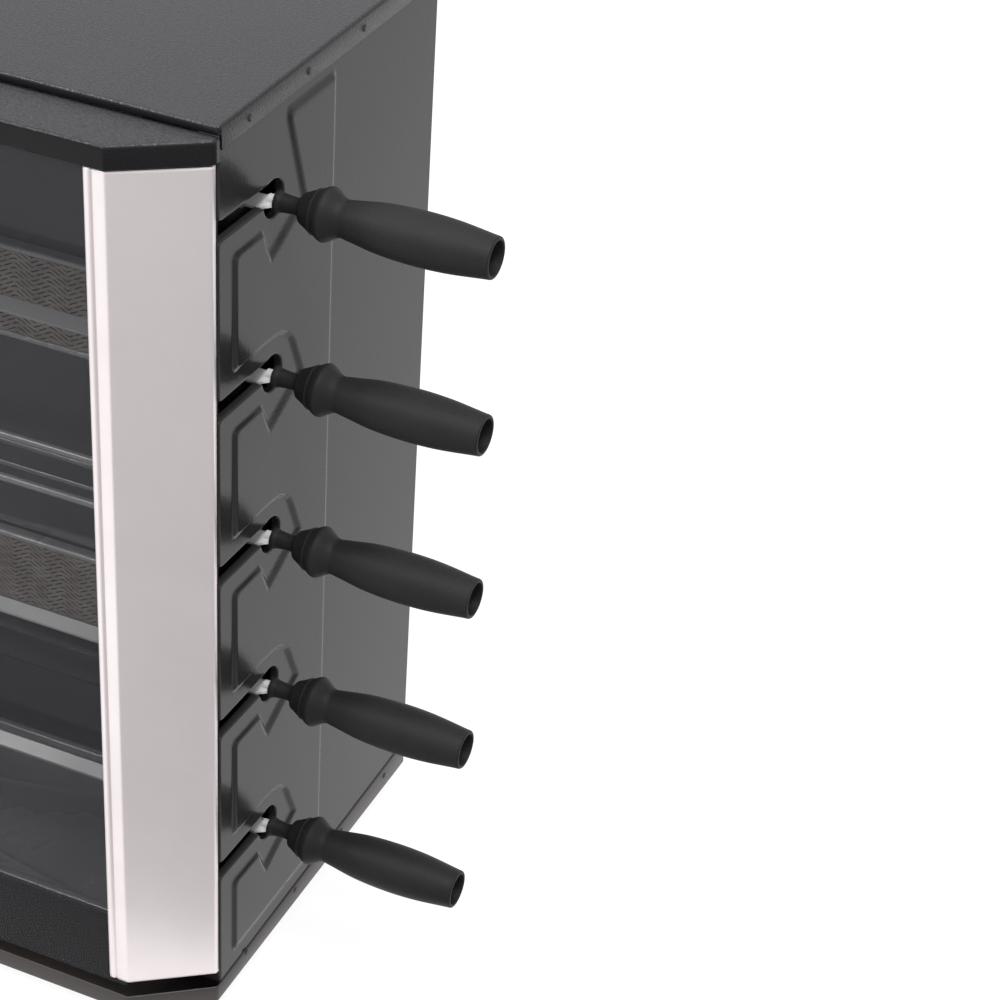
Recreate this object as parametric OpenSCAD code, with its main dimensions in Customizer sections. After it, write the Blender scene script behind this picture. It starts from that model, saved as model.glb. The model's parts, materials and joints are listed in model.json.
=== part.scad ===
// Vertical rotisserie oven: a sheet steel cabinet with two infrared gas burners at the back,
// five skewers one above the other, a gear train at the left and a glass door at the front.
// X runs along the skewers towards their handles, Y from the door to the back, Z up from the feet.

/* [Cabinet] */
// Width over the two side panels
cab_w = 600; // [500:10:760]
// Height of the side panels
cab_h = 620; // [516:4:760]
// Depth of the side panels
cab_d = 275; // [250:5:345]
// Thickness of the sheet steel
sheet = 1; // [0.8:0.1:1.5]
// Height of the rubber feet
foot_h = 12; // [8:1:30]
// Height of the folded edges of the top cover and base pan over the side panels
flange_h = 15; // [10:1:20]
// Height of the stamped field of the right side panel
stamp_depth = 2; // [1:0.5:3]
// Distance from the panel's front edge to the fold in front of the rear compartment
fold_y = 136; // [120:1:150]

/* [Hood and door] */
// How far the hood and base stand out in front of the cabinet
hood_out = 40; // [34:1:50]
// Height of the hood's front lip
hood_h = 14.5; // [12:0.5:20]
// Step down from the cabinet top to the hood
hood_drop = 6; // [3:1:10]
// Length of the corner chamfer across the front
chamfer_x = 47; // [40:1:60]
// Width of the post strip in front of the glass
post_strip = 13.5; // [10:0.5:20]
// Thickness of the door glass
glass_t = 4; // [3:0.5:6]
// Radius of the door's hinge pins
hinge_r = 3; // [2:0.5:3.5]
// Gap between the door and the hood lip
door_gap = 1; // [0.5:0.5:3]

/* [Skewers] */
// Distance of the skewer axes behind the panel's front edge
skewer_y = 62; // [58:1:74]
// Distance of the top skewer below the panel's top
first_drop = 70.5; // [64:0.5:80]
// Distance of the bottom skewer above the panel's bottom
last_rise = 95.5; // [92:0.5:117]
// Height of a skewer slot in the side panel
slot_h = 14; // [12.5:0.5:16]
// Radius of the round seat at the end of a slot
seat_r = 12.5; // [11:0.5:15]
// Width of a skewer blade
blade_w = 15; // [12:0.5:16]
// Distance between the two rods of the fork skewer
fork_gap = 42; // [34:1:50]
// Radius of a skewer's bearing ring
journal_r = 9; // [8.6:0.1:10]
// Length of the handle beyond the side panel
handle_out = 136; // [120:1:170]
// Largest radius of the handle's guard
guard_r = 16; // [13:0.5:18]

/* [Drive] */
// Width of the drive housing at the left
drive_w = 62; // [58:1:80]
// Teeth of each gear, an even number
gear_teeth = 28; // [20:2:36]
// Thickness of each gear
gear_t = 8; // [5:0.5:9]
// Radius of a spindle where it turns in the drive plate
spindle_r = 6; // [5:0.5:7]

/* [Burners] */
// Half the width of a burner's opening
burner_half = 190; // [120:5:200]
// Height of a burner's opening
burner_h = 60; // [48:2:70]
// Distance of the rear reflector behind the panel's front edge
reflector_y = 165; // [158:1:180]

/* [Gas and controls] */
// Radius of a gas knob
knob_r = 15; // [11:1:18]
// Radius of the hose spigot at the back
spigot_r = 4.75; // [4:0.25:6]
// Depth of the drip tray
tray_depth = 20; // [12:1:24]

/* [Hidden] */
$fn = 48;

// Small overlap that lets a cut pass its face
eps = 0.1;
// Radial clearance of a turning shaft in its bore
run_gap = 0.05;
// Gap between faces of pieces that move past each other
move_gap = 0.4;
// Gap all round a shaft or pipe where it goes through a sheet without touching it
hole_gap = 2;

// Heights and centres of the cabinet
hw = cab_w / 2;
base_lip = 5;
z_bot = foot_h + base_lip;
z_top = z_bot + cab_h;
x_mid = (handle_out - drive_w) / 2;
y_mid = (cab_d - hood_out) / 2;
hood_top = z_top - hood_drop;
hood_bottom = hood_top - hood_h;
pitch = (cab_h - first_drop - last_rise) / 4;
function skewer_z(i) = z_top - first_drop - i * pitch;
fork_index = 2;

// Outline of the hood, base and door posts, pulled in by the distance i
chamfer_side = 5;
chamfer_y = hood_out - chamfer_side;
chamfer_len = norm([chamfer_x, chamfer_y]);
function side_x(i) = hw - i;
function side_y(i) = -chamfer_side + i * (chamfer_len - chamfer_y) / chamfer_x;
function front_x(i) = hw - chamfer_x - i * (chamfer_len - chamfer_x) / chamfer_y;
function front_y(i) = -hood_out + i;
function outline(i, back) = [
    [side_x(i), back], [side_x(i), side_y(i)], [front_x(i), front_y(i)],
    [-front_x(i), front_y(i)], [-side_x(i), side_y(i)], [-side_x(i), back]];

// Sheet of the hood and base rims, and the small slot in the hood's top
trim_t = 1.2;
rim_h = 13;
catch_slot_x = 44;
catch_slot_y = 8;
catch_slot_w = 10;
catch_slot_d = 2.5;
// Wall of the hinge pin's sockets
hinge_wall = 2.5;

// Stamped field of the right side panel, measured from the panel's edges and a seat's centre
field_front = 17;
field_top = 23;
field_bottom = 24;
arch_r = 25;
// Corners of the flat land round a seat, from its centre, and the top corner of the first land
land_notch = [-15, -15];
land_tip = [-6, -34];
land_side = [34, -16];
land_arm = [21, 15];
land_top = [16, 42];
// Centre of a slot's round seat behind the skewer axis
seat_back = 2;
// Slot edges over and under the skewer axis: the mouth, and how far both fall on the way to the seat
slot_over = slot_h;
slot_fall = 2;
// Wall of the side panel that carries the slots, with its folded front and rear flanges
panel_flange = 13;

// Vent slots of the back panel and the drive housing
vent_rows = 8;
vent_step = 14;
vent_h = 5;
vent_w = 120;
vent_x = 130;
vent_edge = 60;

// Rubber feet, from the cabinet's sides and its front and back
foot_x = 46;
foot_y = 34;
foot_r = 12;
foot_neck = 3;

// Rivets along the folded edges
rivet_r = 2.6;
rivet_h = 0.8;
rivet_step = (cab_d - 2 * foot_y) / 3;
rivet_y = [for (k = [0 : 3]) foot_y + k * rivet_step];

// Drive train, along X outwards from the left panel
plate_t = 3;
plate_x = hw - sheet + plate_t;
gear_gap = 2;
gear_x = plate_x + gear_gap;
gear_r = pitch / 4;
gear_m = 2 * gear_r / gear_teeth;
stud_r = 4;
socket_r = 10;
socket_in = 26;
// Square tip of a skewer, where it begins and its play in the socket
tip_w = 8;
tip_x = 9;
tip_gap = 0.2;
louvre_w = 26;
motor_x = gear_x + gear_t + 3;
motor_shaft_r = 4;
motor_r = min(28, gear_r + 1);
standoff_y = gear_r + 12;
house_y0 = 8;
house_y1 = cab_d - 24;

// Skewers and their bearing rail, along X inwards from the right panel
rail_x = hw - 24;
rail_t = 3;
rail_front = 26;
rail_back = 40;
rail_top = z_top - 30;
shank_r = 3.5;

// Burners sit half way between two skewers
function burner_z(k) = (skewer_z(1 + 2 * k) + skewer_z(2 + 2 * k)) / 2;
tile_t = 8;
box_d = 38;
mesh_y = reflector_y - 9;
mesh_t = 1.2;
frame_rim = 5;
reflector_low = burner_z(1) - burner_h / 2 - frame_rim - 1;
fold_out = 14;
fold_h = 32;
// The reflectors' ends and top edge
liner_x0 = 20 - hw;
liner_x1 = rail_x - 6;
liner_top = z_top - 22;
box_wall = 3;

// Door
door_top = hood_bottom - door_gap;
post_low = z_bot + 19;
glass_low = z_bot + 14;
post_in = 2;
post_t = 0.8;
post_back = -1.5;
glass_y = front_y(post_in + post_t) + 0.2;
hinge_x = -hw + 16;
hinge_y = -9;
hinge_deep = 9;
hinge_grip = 6;
liner_back = -4;
liner_x = hw - chamfer_x - 8;

// Drip tray
tray_x = hw - 24;
tray_y0 = 12;
tray_y1 = reflector_y - 20;
tray_z = z_bot + 8;
tray_rib = 16;
tray_rib_x = tray_x * 0.7;

// Controls on the front of the drive housing
control_x = -hw - drive_w / 2 - 5;
knob_z = [z_bot + 190, z_bot + 120];
button_z = z_bot + 240;
switch_z = z_bot + 278;
pipe_r = 6;
manifold_r = 5;
elbow = 1.5;
gland_r = 9;
spigot_len = 20;
manifold_y = 26;
valve_y1 = 52;
valve_r = 7;
stem_r = 3;
button_r = 4.8;
collar_r = 7.5;
// Half width and half height of the rocker switch's key, and its pivot
key_w = 5.6;
key_h = 10;
pivot_r = 1.5;
cord_r = 3.6;
house_t = sheet + 0.2;
pipe_y = reflector_y + 22;
inlet_z = z_bot + 60;
cord_z = z_bot + 110;

// Puts a piece that is drawn around the cabinet's middle into the part's own frame
module placed() { translate([-x_mid, -y_mid, 0]) children(); }
// A sheet or bar whose outline is given in Y and Z, from x0 over the length t along X
module along_x(x0, t, points) { translate([x0, 0, 0]) rotate([90, 0, 90]) linear_extrude(t) polygon(points); }
// A round bar along X, Y or Z
module rod_x(x, y, z, len, r) { translate([x, y, z]) rotate([0, 90, 0]) cylinder(h = len, r = r); }
module rod_y(x, y, z, len, r) { translate([x, y, z]) rotate([-90, 0, 0]) cylinder(h = len, r = r); }
// A block from its low corner to its high corner
module block(low, high) { translate(low) cube(high - low); }
// Outline with a wall on it, between two heights
module outline_wall(i, t, low, high, back) {
    difference() {
        translate([0, 0, low]) linear_extrude(high - low) polygon(outline(i, back));
        translate([0, 0, low - eps]) linear_extrude(high - low + 2 * eps) polygon(outline(i + t, back + eps));
    }
}

// ---- Cabinet ----
module slot_cut(i, x0, x1) {
    z = skewer_z(i);
    y = skewer_y + seat_back;
    along_x(x0, x1 - x0,
        [[-eps, z + slot_over], [y, z + slot_over - slot_fall], [y, z - slot_fall], [-eps, z]]);
    rod_x(x0, y, z, x1 - x0, seat_r);
}
// Flat land around one slot and its seat, grown by g
module slot_land(i, x0, x1, g) {
    y = skewer_y + seat_back;
    z = skewer_z(i);
    lower = z + land_notch[1];
    along_x(x0, x1 - x0,
        [[-eps, z + arch_r + g], [y, z + arch_r + g], [y, lower - g], [-eps, lower + 2 - g]]);
    rod_x(x0, y, z, x1 - x0, arch_r + g);
    along_x(x0, x1 - x0, [[y, z + 18], [y + land_arm[0] + g, z + land_arm[1]],
        [y + land_side[0] + g, z + land_side[1]], [y + land_tip[0], z + land_tip[1] - 1.4 * g],
        [y + land_notch[0] - g, lower]]);
    if (i == 0) along_x(x0, x1 - x0, [[-eps, z], [-eps, z_top], [y + land_top[0] + g, z_top],
        [y + land_top[0] + g, z + land_top[1]], [y + land_side[0] + g, z + land_side[1]]]);
}
module stamped_field(x0, x1, i) {
    difference() {
        block([x0, field_front + i, z_bot + field_bottom + i], [x1, fold_y - i, z_top - field_top - i]);
        for (k = [0 : 4]) slot_land(k, x0 - eps, x1 + eps, i);
    }
}
module side_panel_right() color("#1d1d1f") placed() {
    outer = hw - sheet;
    difference() {
        union() {
            block([outer - sheet, 0, z_bot], [outer, cab_d - sheet, z_top - sheet]);
            stamped_field(outer - sheet, outer + stamp_depth, 0);
            block([outer - panel_flange, 0, z_bot + flange_h], [outer, sheet, z_top - flange_h]);
            block([outer - panel_flange, cab_d - 2 * sheet, z_bot + flange_h],
                [outer, cab_d - sheet, z_top - flange_h]);
        }
        stamped_field(outer - 2 * sheet, outer + stamp_depth - sheet, sheet);
        for (i = [0 : 4]) slot_cut(i, outer - 20, outer + eps);
    }
}
module side_panel_left() color("#1d1d1f") placed() {
    difference() {
        union() {
            block([-hw + sheet, 0, z_bot], [-hw + 2 * sheet, cab_d - sheet, z_top - sheet]);
            block([-hw + sheet, cab_d - 2 * sheet, z_bot + flange_h],
                [-hw + sheet + panel_flange, cab_d - sheet, z_top - flange_h]);
        }
        for (i = [0 : 4]) rod_x(-hw - eps, skewer_y, skewer_z(i), 3 * sheet, spindle_r + hole_gap);
        for (k = [0 : 1]) rod_x(-hw - eps, pipe_y, burner_z(k), 3 * sheet, pipe_r + hole_gap);
    }
}
module top_cover() color("#242426") placed() {
    block([-hw, 0, z_top - sheet], [hw, cab_d, z_top]);
    for (s = [0, 1]) mirror([s, 0, 0]) block([hw - sheet, 0, z_top - flange_h], [hw, cab_d, z_top]);
    block([2 * sheet - hw, 0, hood_top], [hw - 2 * sheet, sheet, z_top]);
}
module back_panel() color("#1d1d1f") placed() {
    difference() {
        block([-hw + sheet, cab_d - sheet, z_bot], [hw - sheet, cab_d, z_top - sheet]);
        for (i = [0 : vent_rows - 1], x = [-vent_x, vent_x])
            for (z = [z_top - vent_edge - vent_step * i, z_bot + vent_edge + vent_step * i])
                block([x - vent_w / 2, cab_d - 2 * sheet, z], [x + vent_w / 2, cab_d + eps, z + vent_h]);
    }
}
module hood() color("#1f1f21") placed() {
    outline_wall(0, trim_t, hood_bottom, hood_top, 0);
    difference() {
        translate([0, 0, hood_top - trim_t]) linear_extrude(trim_t) polygon(outline(0, 0));
        translate([front_x(0) - catch_slot_x, catch_slot_y - hood_out, hood_top - 2 * trim_t])
            cube([catch_slot_w, catch_slot_d, 3 * trim_t]);
    }
    difference() {
        translate([hinge_x, hinge_y, hood_bottom + 1])
            cylinder(h = hood_h - trim_t, r = hinge_r + hinge_wall);
        translate([hinge_x, hinge_y, hood_bottom]) cylinder(h = hood_h - 2 * trim_t, r = hinge_r + run_gap);
    }
}
module base_pan() color("#2a2524") placed() {
    difference() {
        union() {
            translate([0, 0, foot_h]) linear_extrude(sheet) polygon(outline(0, cab_d));
            outline_wall(0, trim_t, foot_h, foot_h + rim_h, 0);
            for (s = [0, 1]) mirror([s, 0, 0]) {
                block([hw - sheet, 0, foot_h], [hw, cab_d, z_bot + flange_h - 1]);
                block([tray_rib_x - tray_rib / 2, tray_y0 + tray_rib / 2, foot_h],
                    [tray_rib_x + tray_rib / 2, tray_y1 - tray_rib / 2, tray_z - move_gap]);
            }
            block([-hw, cab_d - sheet, foot_h], [hw, cab_d, z_bot]);
            translate([hinge_x, hinge_y, foot_h])
                cylinder(h = post_low - foot_h - move_gap, r = hinge_r + hinge_wall);
        }
        translate([hinge_x, hinge_y, post_low - hinge_deep - 3 * sheet])
            cylinder(h = 20, r = hinge_r + run_gap);
    }
}
module feet() color("#111111") placed() {
    for (sx = [-1, 1], y = [foot_y, cab_d - foot_y]) translate([sx * (hw - foot_x), y, 0]) {
        cylinder(h = foot_h - foot_neck, r1 = foot_r - 2, r2 = foot_r);
        translate([0, 0, foot_h - foot_neck]) cylinder(h = foot_neck, r = foot_r - 4);
    }
}
module skewer_rail() color("#8d8f92") placed() {
    difference() {
        union() {
            block([rail_x, skewer_y - rail_front, foot_h + sheet],
                [rail_x + rail_t, skewer_y + rail_back, rail_top]);
            block([rail_x, skewer_y + rail_back - 2, foot_h + sheet],
                [hw - 2 * sheet, skewer_y + rail_back, rail_top]);
        }
        for (i = [0 : 4]) {
            rod_x(rail_x - eps, skewer_y, skewer_z(i), rail_t + 2 * eps, journal_r);
            block([rail_x - eps, skewer_y - rail_front - 1, skewer_z(i)],
                [rail_x + rail_t + eps, skewer_y, skewer_z(i) + journal_r]);
        }
    }
}
module rivets() color("#101010") placed() {
    for (s = [-1, 1], y = rivet_y, z = [z_top - flange_h / 2 - 1, z_bot + flange_h / 2 - 1])
        translate([s * hw, y, z]) rotate([0, s * 90, 0])
            cylinder(h = rivet_h, r1 = rivet_r, r2 = rivet_r - 1);
}

// ---- Heating ----
module rear_reflector() color("#5d6064") placed() {
    difference() {
        union() {
            block([liner_x0, reflector_y, reflector_low], [liner_x1, reflector_y + sheet, liner_top]);
            block([liner_x0, 14, liner_top - sheet], [liner_x1, reflector_y + sheet, liner_top]);
        }
        for (k = [0 : 1]) block([-burner_half, reflector_y - 1, burner_z(k) - burner_h / 2],
            [burner_half, reflector_y + 2 * sheet, burner_z(k) + burner_h / 2]);
    }
}
// Folded sheet under the lower burner: it leans forward, drops and goes back down to the base
module lower_reflector() color("#85888c") placed() {
    z = reflector_low;
    y = reflector_y;
    low = foot_h + sheet;
    front = y - fold_out;
    rear = y - 8;
    along_x(liner_x0, liner_x1 - liner_x0, [
        [y, z], [y, z - 4], [front, z - 8], [front, z - fold_h], [rear, z - fold_h - 8], [rear, low],
        [rear + 1, low], [rear + 1, z - fold_h - 8.4], [front + 1, z - fold_h - 0.4], [front + 1, z - 9],
        [y + 1, z - 5], [y + 1, z]]);
}
module burner_box(k) color("#6a6c6e") placed() {
    y = reflector_y + sheet;
    out = 2 * box_wall;
    difference() {
        block([-burner_half - out, y, burner_z(k) - burner_h / 2 - out],
            [burner_half + out, y + box_d, burner_z(k) + burner_h / 2 + out]);
        block([-burner_half - box_wall, y - eps, burner_z(k) - burner_h / 2 - box_wall],
            [burner_half + box_wall, y + box_d - box_wall, burner_z(k) + burner_h / 2 + box_wall]);
        rod_x(-burner_half - out - 1, pipe_y, burner_z(k), box_wall + 2, pipe_r);
    }
}
module burner_tile(k) color("#b08d6a") placed() {
    n = 4;
    w = 2 * burner_half / n;
    gap = 0.5;
    y = mesh_y + 4;
    for (j = [0 : n - 1]) block([-burner_half + j * w + gap, y, burner_z(k) - burner_h / 2 + 1],
        [-burner_half + (j + 1) * w - gap, y + tile_t, burner_z(k) + burner_h / 2 - 1]);
}
module burner_mesh(k) color("#5a4334") placed()
    block([-burner_half, mesh_y, burner_z(k) - burner_h / 2],
        [burner_half, mesh_y + mesh_t, burner_z(k) + burner_h / 2]);
module burner_frame(k) color("#9c9d9e") placed() {
    difference() {
        block([-burner_half - frame_rim, mesh_y - 1, burner_z(k) - burner_h / 2 - frame_rim],
            [burner_half + frame_rim, reflector_y, burner_z(k) + burner_h / 2 + frame_rim]);
        block([-burner_half, mesh_y - 2, burner_z(k) - burner_h / 2],
            [burner_half, reflector_y + eps, burner_z(k) + burner_h / 2]);
    }
}
module spark_electrodes() color("#e6e2da") placed() {
    spark_x = -burner_half - 18;
    spark_y = reflector_y - 30;
    porcelain_r = 3;
    wire_r = 1.2;
    for (k = [0 : 1]) {
        rod_y(spark_x, spark_y + 8, burner_z(k), 22, porcelain_r);
        rod_y(spark_x, spark_y, burner_z(k), 9, wire_r);
        rod_x(spark_x, spark_y, burner_z(k), 16, wire_r);
    }
}

// ---- Gas and controls ----
module gas_pipe(k) color("#b9bcc0") placed() {
    zv = knob_z[k];
    zb = burner_z(k);
    x = control_x;
    start = house_y0 + valve_y1;
    rod_y(x, start, zv, pipe_y - start, pipe_r);
    translate([x, pipe_y, zv]) sphere(r = pipe_r + elbow);
    translate([x, pipe_y, min(zv, zb)]) cylinder(h = abs(zb - zv) + eps, r = pipe_r);
    translate([x, pipe_y, zb]) sphere(r = pipe_r + elbow);
    rod_x(x, pipe_y, zb, -burner_half - box_wall - x, pipe_r);
}
module gas_manifold() color("#b9bcc0") placed() {
    x = control_x;
    y = house_y0 + manifold_y;
    translate([x, y, inlet_z]) cylinder(h = knob_z[0] - 10 - inlet_z, r = manifold_r);
    translate([x, y, inlet_z]) sphere(r = manifold_r + elbow);
    rod_y(x, y, inlet_z, house_y1 - 4 - y, manifold_r);
    rod_y(x, house_y1 - 4, inlet_z, 8, gland_r);
    rod_y(x, house_y1, inlet_z, spigot_len + 4, spigot_r);
}
module gas_valves() color("#c9a45a") placed() {
    body_r = 10;
    neck_len = 8;
    for (k = [0 : 1]) difference() {
        union() {
            rod_y(control_x, house_y0 + neck_len, knob_z[k], valve_y1 - neck_len, body_r);
            rod_y(control_x, house_y0 + 2, knob_z[k], neck_len, valve_r);
        }
        rod_y(control_x, house_y0 - 1, knob_z[k], 20, stem_r + run_gap);
        translate([control_x, house_y0 + manifold_y, knob_z[k] - body_r - 1])
            cylinder(h = (k + 1) * (body_r + 1), r = manifold_r);
    }
}
module gas_knob(k) color("#161616") placed() {
    y = house_y0 - 1;
    skirt = 6;
    grip = 14.5;
    difference() {
        union() {
            rod_y(control_x, y - skirt, knob_z[k], skirt, knob_r);
            rod_y(control_x, y - skirt - grip + 0.5, knob_z[k], grip, knob_r - 3);
        }
        for (s = [-1, 1]) translate([control_x + s * (knob_r - 2), y - 2 * skirt - 2, knob_z[k]])
            cube([8, grip - 0.5, 2 * knob_r + 2], center = true);
    }
    rod_y(control_x, y - 1, knob_z[k], 16, stem_r);
}
module igniter_body() color("#202020") placed() {
    difference() {
        union() {
            rod_y(control_x, house_y0 - 2, button_z, 2, collar_r + 2.5);
            rod_y(control_x, house_y0, button_z, 34, collar_r);
        }
        rod_y(control_x, house_y0 - 3, button_z, 18, button_r + 0.2);
    }
}
module igniter_button() color("#b02020") placed()
    rod_y(control_x, house_y0 - 9, button_z, 15, button_r);
module switch_body() color("#202020") placed() {
    w = key_w + move_gap;
    h = key_h + 1;
    difference() {
        union() {
            block([control_x - w - 3, house_y0 - 2, switch_z - h - 3],
                [control_x + w + 3, house_y0, switch_z + h + 3]);
            block([control_x - w - 1, house_y0, switch_z - h - 1],
                [control_x + w + 1, house_y0 + 20, switch_z + h + 1]);
        }
        block([control_x - w, house_y0 - 3, switch_z - h], [control_x + w, house_y0 + 9, switch_z + h]);
        rod_x(control_x - w - 2, house_y0 + 2, switch_z, 2 * w + 4, pivot_r + run_gap);
    }
}
// The key is drawn in its off position, its lower half out, and turns on a pin through its middle
module switch_key() color("#101010") placed() {
    y = house_y0;
    z = switch_z;
    along_x(control_x - key_w, 2 * key_w, [
        [y + 5, z - 5], [y - 1, z - key_h], [y - 2.5, z - key_h + 0.2], [y - 2, z],
        [y - 4.6, z + key_h - 0.8], [y - 2.5, z + key_h - 0.2], [y + 5, z + 5]]);
    rod_x(control_x - key_w - 1, y + 2, z, 2 * key_w + 2, pivot_r);
}
module cord_grommet() color("#141414") placed() {
    x = control_x;
    difference() {
        union() {
            rod_y(x, house_y1, cord_z, 3, gland_r);
            rod_y(x, house_y1 - house_t - 1, cord_z, house_t + 2, gland_r - 3);
            rod_y(x, house_y1 - 4, cord_z, 4 - house_t, gland_r - 1);
        }
        rod_y(x, house_y1 - 6, cord_z, 10, cord_r);
    }
}

// ---- Drive ----
module drive_plate() color("#8d8f92") placed() {
    half = standoff_y + 8;
    difference() {
        union() {
            block([-plate_x, skewer_y - half, z_bot + flange_h + 4],
                [plate_t - plate_x, skewer_y + half, z_top - flange_h - 6]);
            for (i = [0 : 3]) {
                z = skewer_z(i) - pitch / 2;
                rod_x(-gear_x - gear_t - 1, skewer_y, z, gear_t + gear_gap + 2, stud_r);
                rod_x(-gear_x + move_gap, skewer_y, z, gear_gap, stud_r + 2);
            }
            for (s = [-1, 1])
                rod_x(-motor_x, skewer_y + s * standoff_y, skewer_z(2), motor_x - plate_x + 1, stud_r);
        }
        for (i = [0 : 4])
            rod_x(-plate_x - eps, skewer_y, skewer_z(i), plate_t + 2 * eps, spindle_r + run_gap);
    }
}
// A toothed wheel lying in X, with a tooth at the top when shift is 0 and a gap when it is 0.5
module toothed_wheel(shift) {
    step = 360 / gear_teeth;
    root = gear_r - 1.15 * gear_m;
    tip = gear_r + 0.9 * gear_m;
    tooth = [[root, -0.33], [gear_r, -0.22], [tip, -0.11], [tip, 0.11], [gear_r, 0.22], [root, 0.33]];
    wheel = [for (i = [0 : gear_teeth - 1], p = tooth)
        let (a = 90 + (i + shift + p[1]) * step) p[0] * [cos(a), sin(a)]];
    translate([-gear_x - gear_t, skewer_y, 0]) rotate([90, 0, 90]) linear_extrude(gear_t) polygon(wheel);
}
module spindle_gear(i) color("#c7c4bc") placed() translate([0, 0, skewer_z(i)]) {
    half = tip_w / 2 + tip_gap;
    difference() {
        union() {
            toothed_wheel(0);
            rod_x(-gear_x - eps, skewer_y, 0, gear_x - hw + socket_in, spindle_r);
            rod_x(-gear_x, skewer_y, 0, gear_gap - move_gap, spindle_r + 3);
            rod_x(-hw + 2 * sheet + 1, skewer_y, 0, socket_in, socket_r);
            if (i == fork_index) rod_x(-motor_x - 10, skewer_y, 0, 14, motor_shaft_r);
        }
        block([tip_x - hw, skewer_y - half, -half], [socket_in + 14 - hw, skewer_y + half, half]);
    }
}
module idler_gear(i) color("#c7c4bc") placed() translate([0, 0, skewer_z(i) - pitch / 2]) difference() {
    toothed_wheel(0.5);
    rod_x(-gear_x - gear_t - eps, skewer_y, 0, gear_t + 2 * eps, stud_r + run_gap);
}
module motor() color("#7a7d80") placed() {
    z = skewer_z(fork_index);
    case_len = 24;
    strap = 7;
    difference() {
        union() {
            block([-motor_x - 2, skewer_y - standoff_y - 5, z - strap],
                [-motor_x, skewer_y + standoff_y + 5, z + strap]);
            rod_x(-motor_x - case_len, skewer_y, z, case_len, motor_r);
            rod_x(-motor_x - case_len - 16, skewer_y, z, 18, motor_r - 8);
        }
        rod_x(-motor_x - 12, skewer_y, z, 13, motor_shaft_r + run_gap);
    }
}
module drive_housing() color("#202022") placed() {
    t = house_t;
    low = z_bot + flange_h;
    high = z_top - flange_h - 2;
    outer = -hw - drive_w;
    difference() {
        block([outer, house_y0, low], [-hw + sheet, house_y1, high]);
        block([outer + t, house_y0 + t, low + t], [-hw + sheet + eps, house_y1 - t, high - t]);
        for (k = [0 : 1]) rod_y(control_x, house_y0 - 1, knob_z[k], 2 * t, valve_r + 0.2);
        rod_y(control_x, house_y0 - 1, button_z, 2 * t, collar_r + 0.1);
        block([control_x - key_w - 1.6, house_y0 - 1, switch_z - key_h - 2.2],
            [control_x + key_w + 1.6, house_y0 + 2 * t, switch_z + key_h + 2.2]);
        rod_y(control_x, house_y1 - 2 * t, inlet_z, 2 * t + 1, gland_r + 0.2);
        rod_y(control_x, house_y1 - 2 * t, cord_z, 2 * t + 1, gland_r - 3);
        for (i = [-3 : 3]) block([outer - 1, skewer_y - louvre_w, skewer_z(2) + i * vent_step - 4],
            [outer + 2 * t, skewer_y + louvre_w, skewer_z(2) + i * vent_step]);
    }
}

// ---- Skewers ----
blade_d = 5;
blade_t = 1.6;
blade_point = 45;
handle_in = 2;
shank_len = 60;
rod_r = 2.5;
bar = 3;
// Folded blade outline across the skewer, with width w, fold depth d and sheet t
function vee(w, d, t) = [
    [-w / 2, -d / 2], [-w / 2, -d / 2 - t], [0, d / 2 - t], [w / 2, -d / 2 - t], [w / 2, -d / 2], [0, d / 2]];
// Blade between the stations of its half width along X
module blade(stations) {
    first = stations[0][0];
    last = stations[len(stations) - 1][0];
    near = [for (p = stations) [p[0], -p[1]]];
    far = [for (k = [len(stations) - 1 : -1 : 0]) stations[k]];
    intersection() {
        along_x(first, last - first, vee(blade_w, blade_d, blade_t));
        translate([0, 0, -blade_w]) linear_extrude(2 * blade_w) polygon(concat(near, far));
    }
}
module skewer_core() {
    block([tip_x + 0.6 - hw, -tip_w / 2, -tip_w / 2], [34 - hw, tip_w / 2, tip_w / 2]);
    rod_x(rail_x - 2, 0, 0, rail_t + 4, journal_r - 0.07);
    rod_x(hw - 3, 0, 0, shank_len + 3, shank_r);
}
module skewer(i) color("#c9cbce") placed() translate([0, skewer_y, skewer_z(i)]) {
    half = blade_w / 2 + 1;
    cross_x = rail_x - 36;
    skewer_core();
    if (i == fork_index) {
        for (x = [32 - hw, cross_x])
            block([x, -fork_gap / 2 - bar, -bar], [x + 2 * bar, fork_gap / 2 + bar, bar]);
        for (s = [-1, 1]) rod_x(34 - hw, s * fork_gap / 2, 0, cross_x + hw - 30, rod_r);
        rod_x(cross_x + 4, 0, 0, rail_x - cross_x - 4, 2 * rod_r);
    } else blade([[30 - hw, bar], [30 + blade_point - hw, half], [rail_x - 1, half]]);
    blade([[rail_x + rail_t + 1, half], [hw - 9, half], [hw + handle_in - move_gap, neck_r - 1]]);
}
// Stations of the handle, from the side panel outwards: distance and radius
neck_r = 5.4;
guard_x = 34;
end_r = guard_r * 0.77;
handle_stations = [
    [handle_in, neck_r + 1.2], [handle_in + 2, neck_r + 1.1], [handle_in + 4, neck_r + 0.2],
    [guard_x - 17, neck_r], [guard_x - 15.5, guard_r * 0.54], [guard_x - 13, guard_r * 0.63],
    [guard_x - 8.5, guard_r * 0.78], [guard_x - 6.5, guard_r * 0.84], [guard_x - 6, guard_r * 0.82],
    [guard_x - 2, guard_r * 0.96], [guard_x, guard_r], [guard_x + 2, guard_r * 0.96],
    [guard_x + 9, guard_r * 0.7], [guard_x + 14, guard_r * 0.72], [guard_x + 34, guard_r * 0.91],
    [guard_x + 56, guard_r * 0.98], [guard_x + 76, guard_r * 0.94], [handle_out - 3, end_r + 0.2],
    [handle_out - 1, end_r], [handle_out, end_r - 1.2]];
grip_steps = 4;
hole_r = end_r - 2.4;
hole_deep = 30;
last_station = len(handle_stations) - 1;
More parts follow.
